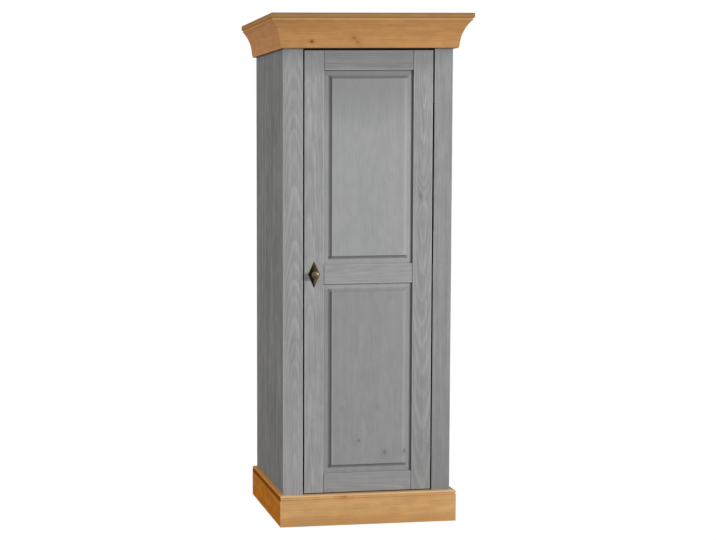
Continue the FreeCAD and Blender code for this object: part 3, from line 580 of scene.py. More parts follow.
@dataclass(frozen=True)
class StainedPine:
    """Pine under a stain and a thin satin lacquer.

    The relief is made of the fine fibres, the streaks and the late wood, in shares.
    """

    title: str
    early: Colour
    late: Colour
    knot: Colour
    # Edge colour: wear along with a painted highlight.
    rub_and_painted_light: Colour
    cloud: Colour
    ring_width: float = 0.006
    ring_strength: float = 0.6
    streak_strength: float = 0.3
    streak_share: float = 0.55
    streak_span: Span = (0.1, 0.9)
    fine_strength: float = 0.05
    cloud_strength: float = 0.35
    halo_strength: float = 0.4
    core_shade: float = 0.6
    rub_and_painted_light_strength: float = 0.5
    rub_and_painted_light_width: float = 0.0022
    roughness: float = 0.46
    matt_streaks: float = 0.1
    glossy_late: float = 0.06
    gloss: float = 0.14
    refraction: float = 1.46
    relief: float = 0.00012
    relief_strength: float = 0.8
    relief_shares: tuple[float, float, float] = (0.35, 0.5, 0.6)

    def dress(self, board: Board) -> Material:
        """Make a board's material.

        Args:
            board: The board that is dressed.

        Returns:
            The material.
        """
        made = bpy.data.materials.new(f"{self.title}_{board.node}")
        graph = Graph.blank(made)
        here = graph.node("ShaderNodeTexCoord").outputs["Object"]
        wood = board.laid(graph, here)
        core, halo, swirl = board.knotted(graph, wood)
        rings = GrowthRings.place(
            graph, Vector=wood, Pith=(*board.pith, 0.0), Taper=board.taper, Sway=board.sway,
            Ring_Width=self.ring_width * board.ring, Seed=board.seed, Swirl=swirl)["Rings"]
        fibre = Fibres.place(graph, Vector=wood, Seed=board.seed)
        figure = graph.mul(rings, self.ring_strength * board.figure)
        tint = graph.blend(figure, board.stained(self.early), board.stained(self.late))
        clouded = graph.mul(fibre["Cloud"], self.cloud_strength)
        tint = graph.blend(clouded, tint, board.stained(self.cloud))
        streaks = graph.mad(fibre["Streak"], self.streak_share,
                            graph.mul(fibre["Broad"], 1.0 - self.streak_share))
        shade = graph.swing(streaks, self.streak_strength * board.streak / 2, *self.streak_span)
        shade = graph.mul(shade, graph.swing(fibre["Fine"], self.fine_strength))
        shade = graph.mul(shade, graph.swing(fibre["Mottle"], board.mottle))
        tint = graph.scale(tint, shade)
        if board.knots:
            tint = graph.blend(graph.mul(halo, self.halo_strength), tint, self.knot)
            tint = graph.blend(core, tint, tuple(part * self.core_shade for part in self.knot))
        # Lighten the edges: wear along with a painted highlight.
        low, high = map(tuple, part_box(board.node))
        worn = Arris.place(graph, Vector=here, Low=low, High=high, Width=self.rub_and_painted_light_width)["RubAndPaintedLight"]
        tint = graph.blend(graph.mul(worn, self.rub_and_painted_light_strength), tint, board.stained(self.rub_and_painted_light))
        # Lay the board's washes: painted shade, shadow and highlights, and stains at knots and
        # joints.
        for wash in board.washes:
            tint = wash.over(graph, here, tint)
        sheen = graph.mad(fibre["Streak"], self.matt_streaks,
                          self.roughness - self.matt_streaks / 2)
        sheen = graph.mad(rings, -self.glossy_late, sheen)
        fine, streak, late = self.relief_shares
        height = graph.mad(fibre["Fine"], fine, graph.mul(fibre["Streak"], streak))
        height = graph.mad(rings, late, height)
        graph.skin(self.relief, self.relief_strength, height, Base_Color=tint, Roughness=sheen,
                   IOR=self.refraction, Specular_IOR_Level=self.gloss * board.gloss)
        return made

    def cover(self, boards: Iterable[Board]) -> None:
        """Dress boards in this pine."""
        for board in boards:
            clothe(board.node, self.dress(board))


GREY_PINE = StainedPine(
    "grey_pine", early=(0.310, 0.310, 0.311), late=(0.42, 0.42, 0.417),
    knot=(0.12, 0.115, 0.108), rub_and_painted_light=(0.47, 0.465, 0.455), cloud=(0.285, 0.285, 0.288),
    streak_strength=0.18, rub_and_painted_light_strength=0.35)

GREY_SIDE = StainedPine(
    "grey_side", early=(0.33, 0.327, 0.318), late=(0.22, 0.216, 0.207),
    knot=(0.10, 0.095, 0.088), rub_and_painted_light=(0.42, 0.41, 0.40), cloud=(0.27, 0.262, 0.25),
    ring_strength=0.5, streak_strength=0.35, cloud_strength=0.4, rub_and_painted_light_strength=0.3, gloss=0.0)

HONEY_PINE = StainedPine(
    "honey_pine", early=(0.53, 0.27, 0.092), late=(0.42, 0.185, 0.052),
    knot=(0.16, 0.05, 0.014), rub_and_painted_light=(0.62, 0.36, 0.16), cloud=(0.46, 0.215, 0.068),
    ring_strength=0.5, streak_strength=0.12, cloud_strength=0.45, rub_and_painted_light_strength=0.35,
    roughness=0.4)

INSIDE_PINE = StainedPine(
    "inside_pine", early=(0.62, 0.46, 0.28), late=(0.50, 0.31, 0.15),
    knot=(0.22, 0.11, 0.05), rub_and_painted_light=(0.66, 0.50, 0.33), cloud=(0.55, 0.38, 0.22),
    streak_strength=0.12, cloud_strength=0.3, rub_and_painted_light_strength=0.3, roughness=0.5)

BACK_PINE = StainedPine(
    "back_pine", early=(0.58, 0.42, 0.25), late=(0.44, 0.27, 0.13),
    knot=(0.20, 0.10, 0.045), rub_and_painted_light=(0.62, 0.47, 0.31), cloud=(0.50, 0.34, 0.19),
    ring_strength=0.65, streak_strength=0.18, rub_and_painted_light_strength=0.25, roughness=0.58, gloss=0.08)

DOWEL_BEECH = StainedPine(
    "dowel_beech", early=(0.62, 0.44, 0.29), late=(0.56, 0.37, 0.23),
    knot=(0.3, 0.18, 0.1), rub_and_painted_light=(0.66, 0.50, 0.35), cloud=(0.58, 0.40, 0.26), ring_width=0.0015,
    ring_strength=0.3, streak_strength=0.25, cloud_strength=0.2, rub_and_painted_light_strength=0.2,
    rub_and_painted_light_width=0.0006, roughness=0.55)


@dataclass(frozen=True)
class RubAndPaintedLight:
    """Painted light and shade, together with rubbed wear, that grows from a point towards one side
    of a fitting.
    """

    centre: Place
    toward: Place
    reach: float
    colour: Colour
    strength: float = 1.0


@dataclass(frozen=True)
class Metal:
    """Worked metal with a patina in its hollows, a brighter skin, and painted light and shade with
    rubbed wear towards given sides.

    Blotches and grit are noises by their octaves and roughness, and by the levels that show.
    """

    title: str
    bright: Colour
    dark: Colour
    patina: float = 0.6
    scale: float = 180.0
    roughness: float = 0.38
    metallic: float = 0.95
    rubs_and_painted_light: tuple[RubAndPaintedLight, ...] = ()
    relief: float = 0.00008
    relief_strength: float = 0.7
    blotch: Span = (4.0, 0.6)
    blotch_span: Span = (0.35, 0.65)
    grit: Span = (3.0, 0.6)
    grit_span: Span = (0.35, 0.7)
    grit_scale: float = 9.0
    grit_share: float = 0.35
    dull: float = 0.3
    rub_and_painted_light_fade: float = 1.5

    def dress(self) -> Material:
        """Make the metal's material, once.

        Returns:
            The material.
        """
        found = bpy.data.materials.get(self.title)
        if found:
            return found
        made = bpy.data.materials.new(self.title)
        graph = Graph.blank(made)
        here = graph.node("ShaderNodeTexCoord").outputs["Object"]
        blotch = graph.noise(here, self.scale, *self.blotch).outputs["Fac"]
        grit = graph.noise(here, self.scale * self.grit_scale, *self.grit).outputs["Fac"]
        speck = graph.ease(grit, *self.grit_span)
        worn = graph.mul(graph.ease(blotch, *self.blotch_span), 1.0 - self.grit_share)
        mask = graph.mul(graph.mad(speck, self.grit_share, worn), self.patina)
        tint = graph.blend(mask, self.bright, self.dark)
        # Paint light and shade, with rubbed wear, towards each given side.
        for rub_and_painted_light in self.rubs_and_painted_light:
            side = tuple(Vector(rub_and_painted_light.toward).normalized())
            away = graph.vector("SUBTRACT", here, rub_and_painted_light.centre)
            reach = graph.vector("DOT_PRODUCT", away, side, result="Value")
            ragged = graph.mad(blotch, rub_and_painted_light.reach, reach)
            amount = graph.ease(ragged, 0.0, rub_and_painted_light.reach * self.rub_and_painted_light_fade)
            tint = graph.blend(graph.mul(amount, rub_and_painted_light.strength), tint, rub_and_painted_light.colour)
        graph.skin(self.relief, self.relief_strength, graph.add(blotch, speck), Base_Color=tint,
                   Roughness=graph.mad(mask, self.dull, self.roughness), Metallic=self.metallic)
        return made

    def cover(self, *nodes: str) -> None:
        """Dress fittings in this metal."""
        for node in nodes:
            clothe(node, self.dress())


AGED_BRONZE = Metal(
    "aged_bronze_skin", bright=(0.15, 0.095, 0.06), dark=(0.035, 0.02, 0.012), patina=0.8,
    scale=170.0, roughness=0.28,
    # Painted light on the knob's upper side, with rubbed wear.
    rubs_and_painted_light=(RubAndPaintedLight((-0.2075, -0.236, 0.9440), (0.35, -0.1, 0.93), 0.005, (0.135, 0.122, 0.066), 0.9),))
PATINATED_BRONZE = Metal(
    "patinated_bronze_skin", bright=(0.055, 0.040, 0.014), dark=(0.012, 0.008, 0.004),
    patina=0.7, scale=160.0, roughness=0.36,
    # Painted light on the plate's lower right facets and painted shade on its left facets.
    rubs_and_painted_light=(RubAndPaintedLight((-0.2040, -0.216, 0.9340), (0.85, 0.0, -0.53), 0.008, (0.12, 0.075, 0.058), 0.75),
          RubAndPaintedLight((-0.2085, -0.216, 0.9445), (-1.0, 0.0, -0.12), 0.005, (0.006, 0.003, 0.002), 0.85)))
DARK_IRON = Metal("dark_iron_skin", bright=(0.045, 0.040, 0.036), dark=(0.014, 0.012, 0.011),
                  patina=0.8, scale=260.0, roughness=0.55, metallic=0.7)
ZINC_STEEL = Metal("zinc_steel_skin", bright=(0.62, 0.60, 0.56), dark=(0.34, 0.33, 0.31),
                   patina=0.5, scale=420.0, roughness=0.3)
MAGNET_FERRITE = Metal("ferrite_skin", bright=(0.07, 0.07, 0.072), dark=(0.03, 0.03, 0.032),
                       patina=0.7, scale=500.0, roughness=0.5, metallic=0.2)
BROWN_PLASTIC = Metal("brown_plastic_skin", bright=(0.16, 0.075, 0.03), dark=(0.12, 0.05, 0.02),
                      patina=0.5, scale=600.0, roughness=0.42, metallic=0.0)


# Dark grey of the painted shade and shadows, and of the dark joint lines at the rail shoulders.
SHADE_AND_JOINT_GREY = (0.10, 0.10, 0.10)
# Painted highlight: a pale grey laid along edges that catch the light.
EDGE_HIGHLIGHT = (0.55, 0.55, 0.545)
# Painted shade: near black, laid on the surfaces inside the gaps round the door.
GAP_SHADE = (0.026, 0.022, 0.018)
# Painted shade under the crown's lower edge.
UNDERSIDE_SHADE = (0.05, 0.028, 0.012)
FRONT = -0.215
FRONT_SKIN: Span = (-FAR, FRONT + 0.0009)
REVEAL_DEPTH: Span = (FRONT + 0.0012, FAR)
REVEAL_SKIN = 0.0003
# Warm hue of the painted shade on the gap edges.
REVEAL_HUE = (1.0, 0.96, 0.91)
ARRIS_HALF = 0.0017
ARRIS_SOFT = 0.0008
JOINT_HALF = 0.0019
JOINT_SOFT = 0.0006


def about(place: float, half: float) -> Span:
    """Give the span round a place."""
    return place - half, place + half


def beside_field(low: float, high: float, above: float) -> tuple[WashAt, ...]:
    """Paint shade on the step round a panel's field and the shadows cast by the rail above it and
    by the right stile, and paint highlights along the field's edges.

    Args:
        low: The panel's lower edge between the rails.
        high: Its upper edge.
        above: How dark the painted shadow is along the upper border, under the rail.

    Returns:
        The washes of the panel's border.
    """
    inner, outer, stile = 0.1380, 0.1515, 0.1645
    drop, step, rail, arris = 0.0195, 0.0315, 0.004, 0.0035
    edge = FRONT + 0.0008
    sunk = (edge, FAR)
    raised = (-FAR, edge)
    field = (low + step, high - step)
    return (
        # Painted shade on the left, lower and upper steps round the field.
        WashAt(SHADE_AND_JOINT_GREY, 0.5, x=(-outer, -inner), y=sunk, z=(low + drop, high - drop)),
        WashAt(SHADE_AND_JOINT_GREY, 0.58, x=(-outer, outer), y=sunk, z=(low + drop, low + step)),
        WashAt(SHADE_AND_JOINT_GREY, 0.55 * above, x=(-outer, outer), y=sunk, z=(high - step, high - drop)),
        # Painted shadow of the rail along the upper border.
        WashAt(SHADE_AND_JOINT_GREY, 0.25 * above, z=(high - drop, FAR)),
        WashAt(SHADE_AND_JOINT_GREY, 0.4 * above, z=(high - rail, FAR)),
        # Painted highlights along the field's left and right edges.
        WashAt(EDGE_HIGHLIGHT, 0.22, x=(-inner, arris - inner), y=raised, z=field),
        WashAt(EDGE_HIGHLIGHT, 0.35, x=(inner - arris, inner), y=raised, z=field),
        # Painted shadow of the right stile on the border.
        WashAt(SHADE_AND_JOINT_GREY, 0.65, 0.0012, x=(stile, FAR)),
    )


def gap_edge_shade(place: float, light: float) -> WashAt:
    """Paint shade on the upright edge at an x inside the gap round the door, in a warm dark
    colour.
    """
    tint = tuple(light * share for share in REVEAL_HUE)
    return WashAt(tint, 0.95, REVEAL_SKIN, x=about(place, REVEAL_SKIN), y=REVEAL_DEPTH)


def arris_highlight(place: float, strength: float) -> WashAt:
    """Paint a highlight along an upright front edge at an x."""
    return WashAt(EDGE_HIGHLIGHT, strength, ARRIS_SOFT, x=about(place, ARRIS_HALF), y=FRONT_SKIN)


def rail_arris_highlight(place: float, strength: float) -> WashAt:
    """Paint a highlight along the lower front edge of a door rail at a z."""
    return WashAt(EDGE_HIGHLIGHT, strength, ARRIS_SOFT, y=FRONT_SKIN, z=(place, place + 2 * ARRIS_HALF))


def joint_line(place: float, strength: float) -> WashAt:
    """Darken the glue line at a rail's shoulder at an x."""
    return WashAt(SHADE_AND_JOINT_GREY, strength, JOINT_SOFT, x=about(place, JOINT_HALF))


@dataclass
class Carcass:
    """Face frame, sides, floor, ceiling and roof."""

    # Painted shadow of the crown, a cool grey fading down the top of the carcass.
    crown_shadow: WashAt = WashAt((0.20, 0.215, 0.23), 0.55, 0.03, z=(1.740, FAR))
    # Painted shadow of the crown's lower edge along the top of the side panel.
    foot_shadow: WashAt = WashAt((0.05, 0.045, 0.04), 0.35, 0.0012, z=(1.7722, FAR))
    low_dark: WashAt = WashAt((0.18, 0.18, 0.18), 0.4, 0.3, z=(-FAR, 0.36))
    low_light: WashAt = WashAt((0.42, 0.42, 0.42), 0.25, 0.25, z=(-FAR, 0.45))
    frame_boards: tuple[Board, ...] = (
        Board("face_stile_left", Lie.UPRIGHT, pith=(0.004, 0.084), taper=0.05, seed=3.1,
              tone=1.02, ring=0.75, figure=1.15,
              washes=(low_light, gap_edge_shade(-0.2485, 0.15), arris_highlight(-0.2485, 0.55),
                      arris_highlight(-0.3185, 0.35), crown_shadow)),
        Board("face_stile_right", Lie.UPRIGHT, pith=(-0.05, 0.05), taper=0.02, seed=7.4,
              tone=0.895, figure=0.7, mottle=0.045,
              washes=(gap_edge_shade(0.2485, 0.04),
                      # Painted shade on the stile's edge at the door gap, above z 1.10.
                      WashAt(GAP_SHADE, 0.75, 0.0007, x=(-FAR, 0.2497), z=(1.10, FAR)),
                      crown_shadow, low_dark)),
        Board("face_rail_top", Lie.ACROSS, seed=2.2,
              # Painted shade on the rail where it shows through the gap over the door.
              washes=(WashAt(GAP_SHADE, 0.95, 0.0004, z=(-FAR, 1.7757)),)),
    )
    sides: tuple[Board, ...] = (
        Board("side_panel_left", Lie.UPRIGHT_SIDE, pith=(0.05, 0.05), taper=0.05, seed=5.3,
              sway=0.05, ring=1.4, tone=0.7, mottle=0.06, washes=(crown_shadow, foot_shadow)),
        Board("side_panel_right", Lie.UPRIGHT_SIDE, pith=(-0.04, 0.07), taper=0.04, seed=9.6,
              sway=0.05, ring=1.4, tone=0.9, figure=0.7, streak=0.6),
    )
    inside: tuple[Board, ...] = (
        Board("face_rail_bottom", Lie.ACROSS, seed=4.4),
        Board("floor_panel", Lie.FLAT, seed=11.2, ring=1.4, sway=0.05),
        Board("ceiling_panel", Lie.FLAT, seed=12.9, ring=1.4, sway=0.05,
              # Painted shade on the panel's front strip where it shows through the gap over the
              # door.
              washes=(WashAt(GAP_SHADE, 0.95, 0.0003, y=(-FAR, -0.1926), z=(1.7645, FAR)),)),
        Board("roof_board", Lie.FLAT, seed=14.3, ring=1.4, sway=0.05, tone=0.85, gloss=0.0),
        Board("floor_cleat_left", Lie.DEPTH, seed=15.1),
        Board("floor_cleat_right", Lie.DEPTH, seed=16.7),
        Board("corner_blocks", Lie.UPRIGHT, seed=17.5),
        Board("tip_over_rail", Lie.ACROSS, seed=18.8),
    )
    dowels: Board = Board("carcass_dowels", Lie.ACROSS, seed=19.9)

    def dress(self) -> None:
        """Dress every board of the carcass."""
        GREY_PINE.cover(self.frame_boards)
        GREY_SIDE.cover(self.sides)
        INSIDE_PINE.cover(self.inside)
        DOWEL_BEECH.cover([self.dowels])


@dataclass
class Crown:
    """Cove and cap round three sides, and the lath at the back."""

    # Painted shade along the lowest edge of the cove, on its underside.
    foot_shade: WashAt = WashAt(UNDERSIDE_SHADE, 0.55, 0.0004, z=(-FAR, 1.7754))
    door_shade: WashAt = WashAt(GAP_SHADE, 0.95, 0.0005, x=(-0.2460, 0.2460), z=(-FAR, 1.7762))
    # Painted highlight on the cove's rounded lower edge.
    lip_highlight: WashAt = WashAt((0.70, 0.45, 0.25), 0.35, 0.0006, z=(1.7760, 1.7795))
    # Painted highlight along the top of the cove, under the cap.
    fillet_highlight: WashAt = WashAt((0.60, 0.37, 0.17), 0.3, z=(1.8740, FAR))
    # Painted shade along the lower part of the cap.
    eaves_shade: WashAt = WashAt((0.25, 0.12, 0.04), 0.35, z=(-FAR, 1.8842))
    brow: WashAt = WashAt((0.20, 0.10, 0.045), 0.8, 0.0005, z=(1.8964, 1.8993))
    boards: tuple[Board, ...] = (
        Board("crown_cove_front", Lie.ACROSS, pith=(0.02, 0.16), taper=0.02, seed=21.3,
              hue=(0.98, 1.0, 1.06), ring=2.2, figure=0.45, mottle=0.055,
              knots=(KnotAt((-0.2205, -0.235, 1.7995), 0.0048, 0.75),
                     KnotAt((-0.064, -0.235, 1.8115), 0.0065, 0.32, 1.8),
                     KnotAt((-0.049, -0.235, 1.7975), 0.0060, 0.26, 1.6)),
              washes=(foot_shade, door_shade, fillet_highlight)),
        Board("crown_cove_left", Lie.DEPTH, pith=(0.02, 0.12), taper=0.02, seed=22.6,
              hue=(1.01, 0.985, 1.22), figure=0.55, mottle=0.05, gloss=0.0, washes=(foot_shade, lip_highlight)),
        Board("crown_cove_right", Lie.DEPTH, pith=(0.02, -0.12), taper=0.02, seed=23.9,
              gloss=0.4, washes=(foot_shade,)),
        Board("crown_cap_front", Lie.ACROSS, pith=(0.01, 0.10), taper=0.01, seed=24.4,
              tone=0.74, hue=(1.0, 1.08, 1.22), figure=0.6, mottle=0.05, gloss=0.0,
              washes=(brow, eaves_shade)),
        Board("crown_cap_left", Lie.DEPTH, pith=(0.01, 0.10), taper=0.01, seed=25.2,
              tone=0.8, gloss=0.0, washes=(brow, eaves_shade)),
        Board("crown_cap_right", Lie.DEPTH, pith=(0.01, -0.10), taper=0.01, seed=26.8,
              gloss=0.0),
        Board("crown_cap_back", Lie.FLAT, seed=27.7, gloss=0.0),
    )

    def dress(self) -> None:
        """Dress the crown's pieces."""
        HONEY_PINE.cover(self.boards)


@dataclass
class Plinth:
    """Three mitred boards with a bead and a quirk along the top."""

    front_washes: tuple[WashAt, ...] = (
        # Painted shade in the quirk, with stain gathered there too.
        WashAt((0.40, 0.17, 0.055), 0.6, 0.0018, z=(0.0995, 0.1035)),
        # Painted highlight along the top ledge.
        WashAt((0.84, 0.58, 0.34), 0.5, 0.0012, z=(0.1125, FAR)),
        WashAt((0.80, 0.55, 0.32), 0.4, 0.0008, x=(-FAR, -0.3362)),
        WashAt((0.36, 0.17, 0.06), 0.5, 0.0008, x=(0.3360, FAR)),
        WashAt((0.44, 0.15, 0.04), 0.3, 0.011, x=(-0.13, -0.055), z=(0.098, 0.110)),
        WashAt((0.46, 0.22, 0.075), 0.4, 0.012, z=(-FAR, 0.030)),
    )
    # Painted shade in the bead and quirk along the top of the left side, with stain gathered there
    # too.
    quirk: WashAt = WashAt((0.15, 0.032, 0.002), 0.9, 0.004, x=(-FAR, -0.3350),
                           y=(-0.2338, FAR), z=(0.0965, 0.1135))
    # Painted highlight on the top ledge of the left side.
    bead: WashAt = WashAt((0.85, 0.42, 0.16), 0.7, z=(0.1150, FAR))
    boards: tuple[Board, ...] = (
        Board("plinth_front", Lie.ACROSS, pith=(0.01, 0.05), taper=0.01, seed=31.5,
              tone=1.15, hue=(1.10, 1.27, 1.53), sway=0.012, figure=0.6, mottle=0.06,
              knots=(KnotAt((-0.0925, -0.234, 0.1085), 0.008, 0.25, 0.8),), washes=front_washes),
        # Darker, more orange tone and hue of the left plinth board: partly a deeper stain, partly
        # painted shade of this side, which faces away from the key lamp.
        Board("plinth_left", Lie.DEPTH, pith=(0.01, 0.06), seed=32.2, tone=0.83,
              hue=(1.26, 0.90, 0.36), mottle=0.10, gloss=0.0, washes=(quirk, bead)),
        Board("plinth_right", Lie.DEPTH, pith=(0.01, -0.06), seed=33.4, gloss=0.4),
    )

    def dress(self) -> None:
        """Dress the plinth's boards."""
        HONEY_PINE.cover(self.boards)


@dataclass
class Door:
    """Two stiles, three rails and two raised panels."""

    # Painted shade along the door's top edge, under the crown, to darken the gap.
    top_gap_shade: WashAt = WashAt(GAP_SHADE, 0.95, 0.0004, z=(1.7684, FAR))
    stile_top: WashAt = WashAt((0.20, 0.205, 0.215), 0.6, 0.05, z=(1.700, FAR))
    panel_top: WashAt = WashAt((0.23, 0.23, 0.235), 0.6, 0.12, z=(1.54, FAR))
    right_low: WashAt = WashAt((0.20, 0.20, 0.20), 0.3, 0.3, z=(-FAR, 0.36))
    joints: tuple[WashAt, ...] = (joint_line(-0.169, 0.85), joint_line(0.169, 0.85))
    boards: tuple[Board, ...] = (
        Board("door_stile_left", Lie.UPRIGHT, pith=(-0.020, 0.055), taper=0.04, seed=41.2,
              tone=1.07, sway=0.034, figure=0.85, mottle=0.05,
              washes=(gap_edge_shade(-0.243, 0.075), arris_highlight(-0.170, 0.2), stile_top, top_gap_shade)),
        Board("door_stile_right", Lie.UPRIGHT, pith=(0.002, 0.06), taper=-0.055, seed=42.7,
              tone=0.96, sway=0.016, figure=1.2, mottle=0.05,
              knots=(KnotAt((0.1974, -0.215, 1.2309), 0.010, 0.25, 1.6),),
              washes=(gap_edge_shade(0.243, 0.15), arris_highlight(0.243, 0.6), arris_highlight(0.172, 0.25),
                      stile_top, right_low, top_gap_shade)),
        Board("door_rail_top", Lie.ACROSS, pith=(0.03, 0.06), seed=43.1, tone=0.76,
              streak=0.8, figure=0.6, washes=(rail_arris_highlight(1.6975, 0.4), *joints, top_gap_shade)),
        Board("door_rail_middle", Lie.ACROSS, pith=(-0.03, 0.06), seed=44.9, tone=1.07,
              streak=0.6, figure=0.5, washes=(rail_arris_highlight(0.9085, 0.45), *joints)),
        Board("door_rail_bottom", Lie.ACROSS, pith=(0.03, 0.05), seed=45.3, tone=0.95,
              streak=0.6, figure=0.5, washes=joints),
        Board("door_panel_upper", Lie.UPRIGHT, pith=(0.03, 0.14), seed=46.6, sway=0.035,
              tone=1.13, hue=(0.99, 1.005, 1.0), figure=0.3, streak=0.35,
              washes=(panel_top, *beside_field(0.9805, 1.6975, 1.0))),
        Board("door_panel_lower", Lie.UPRIGHT, pith=(-0.02, 0.12), seed=47.8, sway=0.035,
              tone=0.96, figure=0.3, streak=0.35,
              knots=(KnotAt((-0.0335, -0.2144, 0.3150), 0.0052, 0.34, 1.8),
                     KnotAt((-0.0490, -0.2144, 0.3060), 0.0100, 0.12, 1.0),
                     KnotAt((0.0670, -0.2144, 0.2680), 0.0085, 0.34, 1.8),
                     KnotAt((0.1430, -0.2144, 0.2690), 0.0068, 0.42),
                     KnotAt((-0.1000, -0.2144, 0.4350), 0.0110, 0.10, 1.6),
                     KnotAt((0.0360, -0.2144, 0.4430), 0.0090, 0.12, 1.6)),
              # Painted highlight in a band below the middle rail, and, last, a painted shadow
              # right under the rail.
              washes=(WashAt(EDGE_HIGHLIGHT, 0.25, 0.002, z=(0.891, 0.903)),
                      *beside_field(0.1945, 0.9085, 0.15), WashAt(SHADE_AND_JOINT_GREY, 0.5, z=(0.9055, FAR)))),
    )

    def dress(self) -> None:
        """Dress the door's pieces."""
        GREY_PINE.cover(self.boards)


@dataclass
class Inside:
    """Shelves and back boards, each cut a little differently from the one before it."""

    shelves: int = 4
    back_boards: int = 6
    joint_width: float = 0.0016
    joint_stain: Colour = (0.07, 0.045, 0.025)

    def shelf(self, index: int) -> Board:
        """Describe a shelf by its number from 0."""
        return Board(f"shelf_{index + 1}", Lie.FLAT, pith=(0.05 - 0.03 * index, 0.08),
                     seed=51.3 + 1.7 * index, ring=1.3, sway=0.05)

    def back_board(self, index: int) -> Board:
        """Describe a back board, with a dark joint along its left edge.

        Args:
            index: Its number from 0.

        Returns:
            The board.
        """
        node = f"back_board_{index + 1}"
        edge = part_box(node)[0].x + self.joint_width
        return Board(node, Lie.UPRIGHT, pith=(0.03 - 0.011 * index, 0.07 + 0.012 * index),
                     taper=0.02 + 0.009 * (index % 4), seed=61.1 + 2.3 * index,
                     tone=0.92 + 0.06 * (index % 3), figure=0.7,
                     washes=(WashAt(self.joint_stain, 0.8, 0.0004, x=(-FAR, edge)),))

    def dress(self) -> None:
        """Dress the shelves and the back boards."""
        INSIDE_PINE.cover(map(self.shelf, range(self.shelves)))
        BACK_PINE.cover(map(self.back_board, range(self.back_boards)))


@dataclass
class Fittings:
    """Knob, hinges, catch and pins."""

    hinges: int = 3

    def dress(self) -> None:
        """Dress the fittings."""
        AGED_BRONZE.cover("knob")
        PATINATED_BRONZE.cover("knob_plate")
        DARK_IRON.cover("hinge_pins")
        ZINC_STEEL.cover("shelf_pins", "catch_strike")
        BROWN_PLASTIC.cover("catch_housing")
        MAGNET_FERRITE.cover("catch_magnet")
        for number in range(1, self.hinges + 1):
            DARK_IRON.cover(f"hinge_leaf_door_{number}", f"hinge_leaf_frame_{number}")


def put(name: str, data: bpy.types.ID) -> bpy.types.Object:
    """Make an object and put it in the scene.

    Args:
        name: Its name.
        data: Its mesh, lamp or camera.

    Returns:
        The object.
    """
    made = bpy.data.objects.new(name, data)
    bpy.context.scene.collection.objects.link(made)
    return made


class HeadKind(Enum):
    """A screw head: its rim, its dome and its countersink as parts of its radius."""

    COUNTERSUNK = (0.06, 0.0, 0.5)
    PAN = (0.30, 0.28, 0.0)


